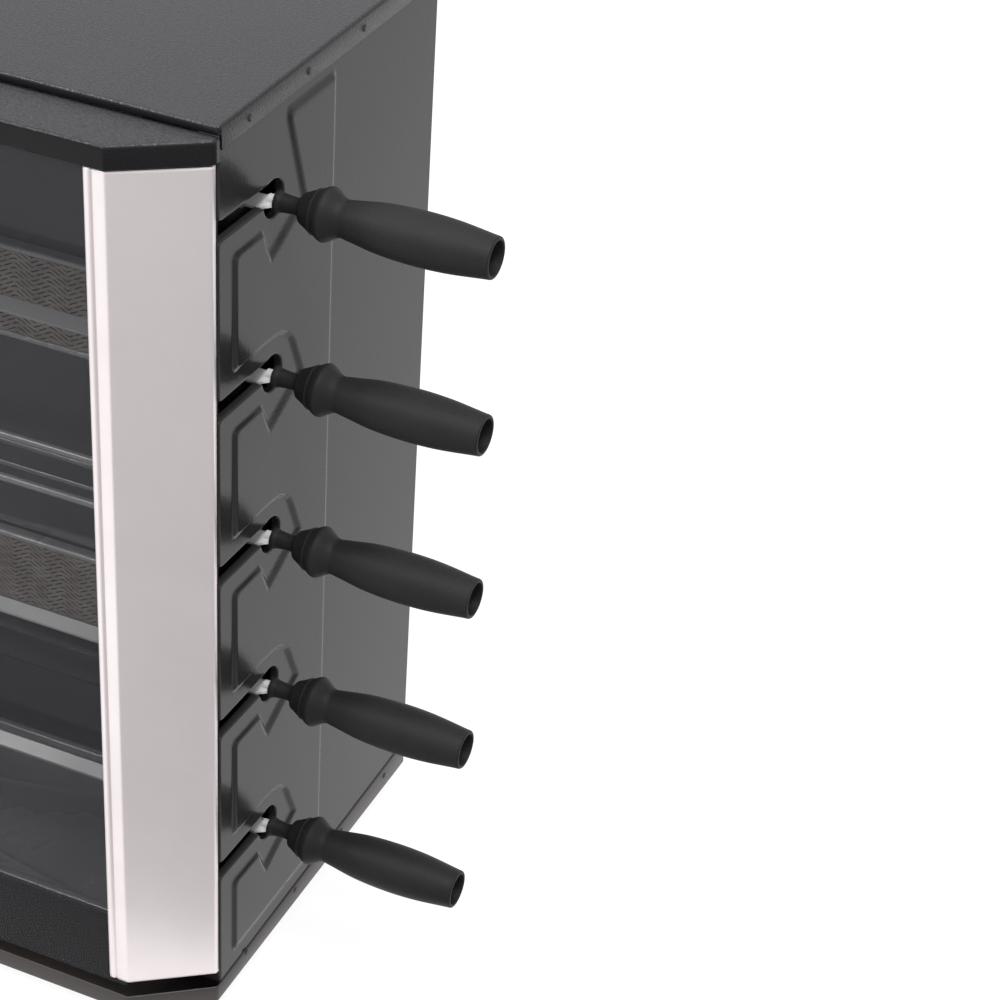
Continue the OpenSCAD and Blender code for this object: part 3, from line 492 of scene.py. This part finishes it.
# %% Outlines and rings
def rounded_outline(corners, radii, steps=6):
    """Points and outward normals along a polyline whose inner corners are arcs. Each arc touches both of
    its sides, and its points follow centre + r (cos a, sin a)."""
    corners = np.asarray(corners, float)
    points = [corners[0]]
    for a, b, c, r in zip(corners[:-2], corners[1:-1], corners[2:], radii):
        d0, d1 = (b - a) / np.linalg.norm(b - a), (c - b) / np.linalg.norm(c - b)
        turn = math.acos(float(np.clip(d0 @ d1, -1, 1)))
        side = math.copysign(1.0, d0[0] * d1[1] - d0[1] * d1[0])
        n0 = side * np.array([-d0[1], d0[0]])
        start = b - d0 * r * math.tan(turn / 2)
        centre = start + n0 * r
        for k in range(steps + 1):
            angle = side * turn * k / steps
            spun = np.array([[math.cos(angle), -math.sin(angle)],
                             [math.sin(angle), math.cos(angle)]]) @ (start - centre)
            points.append(centre + spun)
    points.append(corners[-1])
    points = np.array(points)
    tangent = np.gradient(points, axis=0)
    tangent /= np.linalg.norm(tangent, axis=1, keepdims=True)
    normals = np.stack([tangent[:, 1], -tangent[:, 0]], -1)
    return points, normals


def edge_levels(radius, top, bottom, steps=5, back=0.0):
    """Insets and heights of a quarter-round top edge that goes on down to bottom, with an inward turn."""
    angles = np.linspace(0, math.pi / 2, steps + 1)
    insets = list(radius * (1 - np.sin(angles)))
    heights = list(top - radius * (1 - np.cos(angles)))
    insets += [0.0, back * 0.3, back]
    heights += [bottom + back * 0.3, bottom, bottom]
    return np.array(insets), np.array(heights)


def ring_shell(points, normals, insets, heights):
    """Rings of an outline moved inwards by each inset: a (levels, points, 3) array."""
    flat = points[None] - normals[None] * insets[:, None, None]
    lift = np.broadcast_to(heights[:, None] if heights.ndim == 1 else heights, flat.shape[:2])
    return np.concatenate([flat, lift[..., None]], -1)


# %% [markdown]
# ## Hood
# The black trim over the door: a flat top 6 mm below the cabinet, a rounded front edge that sparkles, and a
# lip that hangs down in front of the glass. Its outline follows the front and the two chamfered corners.

# %% Hood
hood_low, hood_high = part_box("hood")
chamfer_x, chamfer_side = 47 * MM, 5 * MM
front = [(hood_high.x, hood_high.y), (hood_high.x, hood_high.y - chamfer_side),
         (hood_high.x - chamfer_x, hood_low.y), (hood_low.x + chamfer_x, hood_low.y),
         (hood_low.x, hood_high.y - chamfer_side), (hood_low.x, hood_high.y)]
hood_line, hood_normals = rounded_outline(front[::-1], [4 * MM, 3 * MM, 3 * MM, 4 * MM])
insets, heights = edge_levels(2.6 * MM, hood_high.z, hood_low.z, back=1.0 * MM)
rings = ring_shell(hood_line, hood_normals, insets, heights)
levels, around = rings.shape[:2]
hood = make_piece("hood_trim", rings, [grid_faces(levels, around)[:, ::-1], [np.arange(around)]], "cabinet",
                  hood_paint_shaded, ["hood"], outward=False)
thicken(hood, 1.0 * MM)
print("hood", around, "points round,", levels, "levels")

# %% Base trim
base_low, base_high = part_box("base_pan")
wall_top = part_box("top_cover")[0].z
base_flange_top = base_low.z + (cover_high.z - wall_top) + 4 * MM
outline = [(base_low.x + chamfer_x, base_low.y), (base_high.x - chamfer_x, base_low.y),
           (base_high.x, hood_high.y - chamfer_side), (base_high.x, base_high.y), (base_low.x, base_high.y),
           (base_low.x, hood_high.y - chamfer_side), (base_low.x + chamfer_x, base_low.y)]
middle = ((outline[0][0] + outline[1][0]) / 2, base_low.y)
base_line, base_normals = rounded_outline([middle] + outline[1:] + [middle],
                                          [3 * MM, 4 * MM, 2 * MM, 2 * MM, 4 * MM, 3 * MM])
profile = np.array([[1.6, 0.0], [0.8, 0.2], [0.2, 0.8], [0.0, 1.6]]) * MM
rim_top = np.where(base_line[:, 1] < hood_high.y, base_low.z + 13 * MM, base_flange_top)
heights = np.concatenate([np.broadcast_to(base_low.z + profile[:, 1:], (4, len(base_line))),
                          rim_top[None] - 1 * MM, rim_top[None] - 0.3 * MM, rim_top[None]])
insets = np.append(profile[:, 0], [0.0, 0.3 * MM, 1.0 * MM])
rings = ring_shell(base_line, base_normals, insets, heights)
levels, around = rings.shape[:2]
make_piece("base_trim", rings, [grid_faces(levels, around), [np.arange(around - 1)[::-1]]], "cabinet",
           base_paint, ["base_pan"], outward=False)
print("base rim", levels, "levels of", around)

# %% [markdown]
# ## Top cover
# The cover is folded down 15 mm over both side panels and 6 mm to the hood at the front, where its edge is
# rolled. Its folds are round, about 2 mm, so they shade softly instead of making a hard line.

# %% Cover
top_low, top_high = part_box("top_cover")
outline = [(top_high.x, top_low.y), (top_high.x, top_high.y), (top_low.x, top_high.y), (top_low.x, top_low.y)]
middle = (0.0, top_low.y)
cover_line, cover_normals = rounded_outline([middle] + outline + [middle], [2.8 * MM] * 4)
fold = 2.4 * MM
angles = np.linspace(0, math.pi / 2, 7)
insets = np.append(fold * (1 - np.sin(angles)), [0.0, 0.0])
skirt = np.where(cover_line[:, 1] < top_low.y + 2.6 * MM, hood_high.z + 0.2 * MM,
                 np.where(cover_line[:, 1] > top_high.y - 0.5 * MM, top_high.z - fold - 0.5 * MM, top_low.z))
heights = np.concatenate([np.broadcast_to((top_high.z - fold * (1 - np.cos(angles)))[:, None],
                                          (7, len(cover_line))),
                          skirt[None] + 0.5 * MM, skirt[None]])
insets[-1] = 0.4 * MM
rings = ring_shell(cover_line, cover_normals, insets, heights)
levels, around = rings.shape[:2]
cover = make_piece("top_cover_folded", rings, [grid_faces(levels, around)[:, ::-1], [np.arange(around - 1)]],
                   "cabinet", top_paint, ["top_cover"], outward=False)
thicken(cover, 0.9 * MM)
print("cover", levels, "levels of", around)

# %% [markdown]
# ## The stamped side panel
# The right panel is one sheet with a field pressed 2 mm outwards. The field leaves a flat land round each
# slot, where the rail behind it is riveted on. All of it is one height field: signed distances say how far
# each point is from an outline, and the height falls from 2 mm to 0 within a wall 3.6 mm wide around
# distance zero. The slots are cut out by another distance, and their edges are drawn inwards as rolled lips.

# %% Distances
def polygon_distance(px, pz, corners):
    """Signed distance to a closed polygon, negative inside. Over all sides it takes the least distance to the
    side, and the parity of the crossings of a ray along +X tells inside from outside."""
    corners = np.asarray(corners, float)
    nearest = np.full(px.shape, 1e9)
    inside = np.zeros(px.shape, bool)
    for a, b in zip(corners, np.roll(corners, -1, axis=0)):
        side = b - a
        t = np.clip(((px - a[0]) * side[0] + (pz - a[1]) * side[1]) / (side @ side), 0, 1)
        nearest = np.minimum(nearest, np.hypot(px - a[0] - t * side[0], pz - a[1] - t * side[1]))
        if a[1] != b[1]:
            crossing = (a[1] > pz) != (b[1] > pz)
            inside ^= crossing & (px < a[0] + (pz - a[1]) / (b[1] - a[1]) * side[0])
    return np.where(inside, -nearest, nearest)


def soft_max(a, b, k):
    """The larger of a and b, blended over the width k: max(a, b) + k h^2 / 4, where
    h = max(1 - |a - b| / k, 0)."""
    h = np.maximum(1 - np.abs(a - b) / k, 0)
    return np.maximum(a, b) + k * h * h / 4


# %% Stamping and slots, in millimetres from the panel's front edge and the feet
panel_low, panel_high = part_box("side_panel_right")
panel_front, panel_back = panel_low.y / MM, panel_high.y / MM
skewer_y = seats[0].y / MM - panel_front
seat_y = skewer_y + 2
seat_z = [seat.z / MM for seat in seats]
panel_bottom, panel_top = panel_low.z / MM, cover_high.z / MM
seat_radius, slot_height, stamp = 12.5, 14.0, 2.0
field_front, field_back, field_low, field_high = 17, 136, panel_bottom + 24, panel_top - 23
arch = [(25 * math.sin(a), 25 * math.cos(a)) for a in np.radians([0, 18, 36, 54, 68])]
land = [(-90, -13), (-15, -15), (-6, -34), (34, -15)] + arch[::-1] + [(-12, 26), (-90, 26)]
first_land = [(-90, -13), (-15, -15), (-6, -34), (35, -14), (16, 42), (12, 80), (-90, 80)]


def slot_distance(y, z):
    """Distance to the nearest slot, negative in the opening: a sloping mouth, flared where it crosses the
    front fold, that ends in a round seat."""
    least = np.full(y.shape, 1e9)
    for zs in seat_z:
        top = zs + slot_height
        upper_edge = [(-40, top + 3), (0.4, top + 3), (1.6, top + 1), (4.5, top), (seat_y, top - 2)]
        lower_edge = [(seat_y, zs - 2), (4.5, zs), (1.6, zs - 1), (0.4, zs - 3), (-40, zs - 3)]
        mouth = polygon_distance(y, z, upper_edge + lower_edge)
        seat = np.hypot(y - seat_y, z - zs) - seat_radius
        least = np.minimum(least, -soft_max(-mouth, -seat, 2.0))
    return least


def stamped_height(y, z):
    """Height of the pressed sheet: 0 on the rim and the lands, 2 mm in the field."""
    field = polygon_distance(y, z, [(field_front, field_low), (field_back, field_low),
                                    (field_back, field_high), (field_front, field_high)])
    for k, zs in enumerate(seat_z):
        outline = first_land if k == 0 else land
        field = soft_max(field, -polygon_distance(y - seat_y, z - zs, outline), 5.0)
    fold_back = ease((field_back - y) / 5.0 + 0.5)
    return stamp * ease(0.5 - field / 3.6) * (0.35 + 0.65 * fold_back)


# %% Panel grid
fold_r = 1.6
flange = 11.0
fold_arc = fold_r * math.pi / 2
across = np.concatenate([[-fold_arc - flange], np.linspace(-fold_arc, 0, 6), np.arange(0.9, 82, 0.9),
                         np.arange(83, 140, 1.5), np.arange(144, 268, 10),
                         [panel_back - panel_front - fold_r]])
upward = [panel_bottom]
while upward[-1] < panel_high.z / MM - 2.5:
    near_slot = any(-20 < upward[-1] - zs < 30 for zs in seat_z)
    upward.append(upward[-1] + (0.8 if near_slot else 2.3))
upward = np.array(upward + [panel_high.z / MM])
s, z = np.meshgrid(across, upward, indexing="ij")
y_flat = s + fold_r
distance = slot_distance(y_flat, z)
step = 0.4
slope_y = (slot_distance(y_flat + step, z) - slot_distance(y_flat - step, z)) / (2 * step)
slope_z = (slot_distance(y_flat, z + step) - slot_distance(y_flat, z - step)) / (2 * step)
length = np.maximum(np.hypot(slope_y, slope_z), 1e-6)
slope_y, slope_z = slope_y / length, slope_z / length
near = np.abs(distance) < 0.5
movable = near & (s > -fold_arc)
s = np.where(movable, s - distance * slope_y, s)
z = np.where(near, z - distance * slope_z, z)
z = np.where(s < 0, np.clip(z, panel_bottom + 8, panel_high.z / MM - 9), z)
distance = np.where(near, 0.0, distance)


def panel_point(s, z, height):
    """Place on the folded panel of the unrolled point (s, z): flat for s > 0, a quarter round behind it, then
    the flange that runs inwards."""
    turn = np.clip(-s / fold_r, 0, math.pi / 2)
    y = np.where(s > 0, fold_r + s, fold_r * (1 - np.sin(turn)))
    x = height - stamp - fold_r * (1 - np.cos(turn)) - np.where(s < -fold_arc, -s - fold_arc, 0.0)
    return np.stack([panel_high.x + x * MM, (panel_front + y) * MM, z * MM], -1)


height = np.where(s > 8, stamped_height(s + fold_r, z), 0.0)
points = panel_point(s, z, height).reshape(-1, 3)
quads = grid_faces(len(across), len(upward))[:, ::-1]
corner_distance = distance.reshape(-1)[quads]
opened = (corner_distance < -1e-9).sum(1)
on_metal = (corner_distance > 1e-9).any(1)
clipped = quads[(opened == 1) & on_metal]
first_open = (distance.reshape(-1)[clipped] < -1e-9).argmax(1)
triangles = np.stack([clipped[np.arange(len(clipped)), (first_open + k) % 4] for k in (1, 2, 3)], -1)
quads = quads[(opened == 0) & on_metal]
edges = np.concatenate([np.stack([f, np.roll(f, -1, axis=1)], -1).reshape(-1, 2) for f in (quads, triangles)])
_, first, count = np.unique(np.sort(edges, axis=1), axis=0, return_index=True, return_counts=True)
rim = edges[first[count == 1]]
rim = rim[(np.abs(distance.reshape(-1)[rim]) < 1e-9).all(1)]
rim_points, rim_index = np.unique(rim, return_inverse=True)
rim_index = rim_index.reshape(-1, 2)
flat_s, flat_z = s.reshape(-1)[rim_points], z.reshape(-1)[rim_points]
push_y, push_z = -slope_y.reshape(-1)[rim_points], -slope_z.reshape(-1)[rim_points]
base_height = height.reshape(-1)[rim_points]
layers, faces, offset = [points], [quads, triangles], len(points)
previous = rim_points
for out, deep in [(0.45, 0.1), (0.85, 0.45), (1.05, 1.05), (1.05, 5.0)]:
    ring = panel_point(flat_s + out * push_y, flat_z + out * push_z, base_height - deep)
    layers.append(ring)
    now = offset + np.arange(len(rim_points))
    faces.append(np.stack([previous[rim_index[:, 1]], previous[rim_index[:, 0]], now[rim_index[:, 0]],
                           now[rim_index[:, 1]]], -1))
    previous, offset = now, offset + len(rim_points)
make_piece("side_panel_stamped", np.concatenate(layers), faces, "cabinet", black_paint,
           ["side_panel_right"], sharp=50, outward=False)
print("panel:", len(quads), "quads,", len(rim_points), "points on the lips")

# %% [markdown]
# ## Door posts
# Each post is one strip of brushed steel, folded along the hood's outline. Its front strip has a round edge
# and a pressed groove, then come the wide slanted face and a narrow side flange.

# %% Posts
def corner_post(name, node, side):
    """A profile seen from above, repeated at five heights. From inside to outside it runs over a bead and a
    groove, then the front strip, the slanted face and the side flange; side -1 mirrors it to the left."""
    low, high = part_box(node)
    x_side, width, strip = (high.x if side > 0 else low.x), high.x - low.x, 13.5 * MM
    bead = [(0.0, 2.4), (0.1, 1.0), (0.8, 0.1), (2.0, -0.3), (3.6, -0.3), (4.6, 0.3), (5.2, 0.9), (5.8, 0.4),
            (6.6, 0.0)]
    groove = [(-width + u * MM, low.y + v * MM) for u, v in bead]
    bend_front, bend_side = (-(width - strip), low.y), (0.0, high.y - 3.4 * MM)
    front, _ = rounded_outline([groove[-1], bend_front, bend_side, (0.0, high.y)], [3.0 * MM, 2.4 * MM], 8)
    profile = np.concatenate([np.array(groove[:-1]), front])
    heights = np.array([low.z, low.z + 0.8 * MM, low.z + 3 * MM, high.z - 2 * MM, high.z])
    inset = np.array([1.2, 0.3, 0.0, 0.0, 0.0]) * MM
    rows = []
    for level, drop in zip(heights, inset):
        pulled = profile + np.array([0.0, drop])
        rows.append(np.stack([x_side + side * pulled[:, 0], pulled[:, 1], np.full(len(pulled), level)], -1))
    piece = make_piece(name, np.array(rows), [grid_faces(len(rows), len(profile))], "door",
                       post_steel, [node], sharp=60, outward=False)
    thicken(piece, 0.7 * MM, 0.0)
    return len(profile)


print("post outline:", corner_post("post_right", "door_post_right", 1), "points;",
      corner_post("post_left", "door_post_left", -1))

# %% [markdown]
# ## Handles
# A handle is turned from an outline of stations: a thin neck, a stepped cone, the guard that keeps the hand
# off the panel, a waist and a long belly. The end is hollow, so that the skewer can hang on a hook.

# %% Handles
def turned(stations, count):
    """Smooth outline through (distance, radius) stations: a cubic between each pair, whose end slopes are
    those of the line through the neighbours."""
    u, r = np.asarray(stations, float).T
    slopes = np.empty_like(r)
    slopes[1:-1] = (r[2:] - r[:-2]) / (u[2:] - u[:-2])
    slopes[0], slopes[-1] = (r[1] - r[0]) / (u[1] - u[0]), (r[-1] - r[-2]) / (u[-1] - u[-2])
    lengths, radii = [], []
    for k in range(len(u) - 1):
        h = u[k + 1] - u[k]
        t = np.linspace(0, 1, count, endpoint=False)
        lengths.append(u[k] + t * h)
        radii.append(r[k] * (2 * t**3 - 3 * t**2 + 1) + slopes[k] * h * (t**3 - 2 * t**2 + t)
                     + r[k + 1] * (3 * t**2 - 2 * t**3) + slopes[k + 1] * h * (t**3 - t**2))
    return np.append(np.concatenate(lengths), u[-1]), np.append(np.concatenate(radii), r[-1])


def revolve_x(start, lengths, radii, spokes):
    """Rings of points around an axis along +X that starts at start."""
    angle = np.linspace(0, 2 * math.pi, spokes, endpoint=False)
    ring = np.stack([np.zeros(spokes), np.cos(angle), np.sin(angle)], -1)
    return (np.array(start)[None, None] + radii[:, None, None] * ring[None]
            + lengths[:, None, None] * np.array([1.0, 0, 0])[None, None])


side_x = hood_high.x
for i, seat in enumerate(seats, 1):
    low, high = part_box(f"skewer_handle_{i}")
    g = (high.z - low.z) / 2
    end = high.x - side_x
    neck, guard, rim_r = 5.4 * MM, 34 * MM, 0.77 * g
    stations = [(low.x - side_x, neck + 1.2 * MM), (4 * MM, neck + 1.1 * MM), (6 * MM, neck + 0.2 * MM),
                (guard - 17 * MM, neck), (guard - 15.5 * MM, 0.54 * g), (guard - 13 * MM, 0.63 * g),
                (guard - 8.5 * MM, 0.78 * g), (guard - 6.8 * MM, 0.85 * g), (guard - 6.2 * MM, 0.82 * g),
                (guard - 2.2 * MM, 0.96 * g), (guard, g), (guard + 2 * MM, 0.96 * g),
                (guard + 9 * MM, 0.7 * g), (guard + 14 * MM, 0.72 * g), (guard + 34 * MM, 0.91 * g),
                (guard + 56 * MM, 0.98 * g), (guard + 76 * MM, 0.94 * g), (end - 3 * MM, rim_r + 0.2 * MM),
                (end - 1 * MM, rim_r), (end - 0.2 * MM, rim_r - 0.5 * MM), (end, rim_r - 1.2 * MM)]
    lengths, radii = turned(stations, 6)
    hole = rim_r - 2.4 * MM
    inner = [(end, hole + 0.6 * MM), (end - 0.3 * MM, hole + 0.2 * MM), (end - 1 * MM, hole),
             (end - 28 * MM, hole), (end - 30 * MM, hole - 1.5 * MM), (end - 30 * MM, 0.0)]
    lengths = np.concatenate([[low.x - side_x], lengths, [p[0] for p in inner]])
    radii = np.concatenate([[0.0], radii, [p[1] for p in inner]])
    rings = revolve_x((side_x, seat.y, (low.z + high.z) / 2), lengths, radii, 96)
    make_piece(f"handle_{i}", rings, [grid_faces(len(lengths), 96, close_columns=True)], f"skewer_{i}",
               handle_plastic, [f"skewer_handle_{i}"], sharp=55)
print("handles:", len(lengths), "rings of 96")

# %% [markdown]
# ## Burner mesh
# Expanded metal is slit sheet drawn apart. Here flat strands run side by side in a herringbone, and each
# pair of neighbours touches at every fourth column, so a row of short slits is left open between them.

# %% Mesh
def expanded_mesh(name, node):
    """Strands whose middle line is a triangle wave, |(2x / wave) mod 2 - 1|, one pitch above another."""
    low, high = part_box(node)
    pitch, gap, wave, rise = 3.4 * MM, 1.0 * MM, 26 * MM, 7.0 * MM
    columns = np.arange(low.x, high.x, 2.0 * MM)
    k = np.arange(len(columns))
    middle = rise * (np.abs((2 * columns / wave) % 2 - 1) - 0.5)
    back, fore = low.y + 0.3 * MM, low.y + 0.8 * MM
    all_points, all_faces, offset = [], [], 0
    for r, z0 in enumerate(np.arange(low.z - rise / 2, high.z + rise / 2, pitch)):
        top = np.where((k + 2 * r) % 4 == 0, pitch / 2, (pitch - gap) / 2)
        bottom = np.where((k + 2 * r - 2) % 4 == 0, pitch / 2, (pitch - gap) / 2)
        z_top = np.clip(z0 + middle + top, low.z, high.z)
        z_bottom = np.clip(z0 + middle - bottom, low.z, high.z)
        corners = [(back, z_top), (fore, z_top), (fore, z_bottom), (back, z_bottom)]
        strand = np.stack([np.stack([columns, np.full(len(k), y), z], -1) for y, z in corners], 1)
        all_points.append(strand.reshape(-1, 3))
        all_faces.append(grid_faces(len(k), 4, close_columns=True)[:, ::-1] + offset)
        offset += len(k) * 4
    return make_piece(name, np.concatenate(all_points), all_faces, "cabinet", mesh_steel,
                      [node], merge=1e-7, sharp=30, outward=False)


expanded_mesh("mesh_upper", "burner_mesh_upper")
expanded_mesh("mesh_lower", "burner_mesh_lower")
print("two sheets of expanded metal")

# %% [markdown]
# ## Folds of the rear reflector
# Two shallow ribs and one domed rivet hold the bright sheet flat behind the skewers. Each is placed by its
# share of the way from one skewer's seat up to the next.

# %% Ribs and rivet
back_low, back_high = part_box("rear_reflector")
rib_shares = [0.58, 0.72]
rivet_share, rivet_x, rivet_r = 0.39, 28 * MM, 4.0 * MM
steps = np.linspace(0, math.pi, 9)
ends = np.array([back_low.x + 8 * MM, back_high.x - 8 * MM])
for number, share in enumerate(rib_shares, 1):
    z_rib = seats[1].z * (1 - share) + seats[2].z * share
    rib = np.stack([np.stack([np.full(9, x), back_low.y - 0.8 * MM * np.sin(steps),
                              z_rib - 1.6 * MM * np.cos(steps)], -1) for x in ends])
    make_piece(f"reflector_rib_{number}", rib, [grid_faces(2, 9)[:, ::-1]], "cabinet",
               plain_steel, outward=False)
dome = np.linspace(0, math.pi / 2, 7)
angle = np.linspace(0, 2 * math.pi, 24, endpoint=False)
rivet_z = seats[2].z * (1 - rivet_share) + seats[3].z * rivet_share
radius = rivet_r * np.cos(dome)[:, None]
rivet_points = np.stack([rivet_x + radius * np.cos(angle)[None],
                         np.broadcast_to(back_low.y - 2.2 * MM * np.sin(dome)[:, None], (7, 24)),
                         rivet_z + radius * np.sin(angle)[None]], -1)
make_piece("reflector_rivet", rivet_points, [grid_faces(7, 24, close_columns=True)], "cabinet",
           plain_steel)
print("two ribs and a rivet")

# %% [markdown]
# ## Drip tray
# A pressed tray: flat rim, walls that lean, round corners, and diagonal creases that lead the fat to the
# middle. The floor's height is worked out as a field over a grid.

# %% Tray
def tray_surface():
    """Heights over a grid: a flat rim, a wall that falls where the distance from the edge of the rounded
    rectangle is 5 to 12 mm, and a floor that sinks to the middle with a ridge along each diagonal."""
    low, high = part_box("drip_tray")
    nx, ny = 240, 90
    x, y = np.meshgrid(np.linspace(low.x, high.x, nx), np.linspace(low.y, high.y, ny), indexing="ij")
    centre_x, centre_y = (low.x + high.x) / 2, (low.y + high.y) / 2
    half_x, half_y, corner = (high.x - low.x) / 2, (high.y - low.y) / 2, 22 * MM
    qx, qy = np.abs(x - centre_x) - half_x + corner, np.abs(y - centre_y) - half_y + corner
    edge = -(np.hypot(np.maximum(qx, 0), np.maximum(qy, 0)) + np.minimum(np.maximum(qx, qy), 0) - corner)
    depth = high.z - low.z
    wall = ease((edge - 5 * MM) / (7 * MM))
    fall = np.minimum(np.abs(x - centre_x) / half_x, 1)
    crease = np.abs(np.abs(y - centre_y) / half_y - (0.25 + 0.75 * fall))
    slope = np.maximum(np.abs(y - centre_y) / half_y, fall)
    floor_z = low.z + 0.6 * MM + 2.2 * MM * slope + 0.7 * MM * np.exp(-(crease / 0.02) ** 2)
    rolled = 1.2 * MM * (1 - ease(edge / (1.6 * MM)))
    z = high.z - 0.2 * MM - rolled - (high.z - 0.2 * MM - floor_z) * wall
    return np.stack([x, y, z], -1), nx, ny


tray_points, nx, ny = tray_surface()
make_piece("drip_tray_pressed", tray_points, [grid_faces(nx, ny)[:, ::-1]], "drip_tray",
           tray_steel, ["drip_tray"], sharp=60, outward=False)
print("tray grid", nx, "by", ny)

# %% Finish
size_of_look = [list(corner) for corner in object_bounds()]
changes = [abs(a - b) for u, v in zip(size_of_cad, size_of_look) for a, b in zip(u, v)]
print("largest change:", round(max(changes) / MM, 2), "mm")
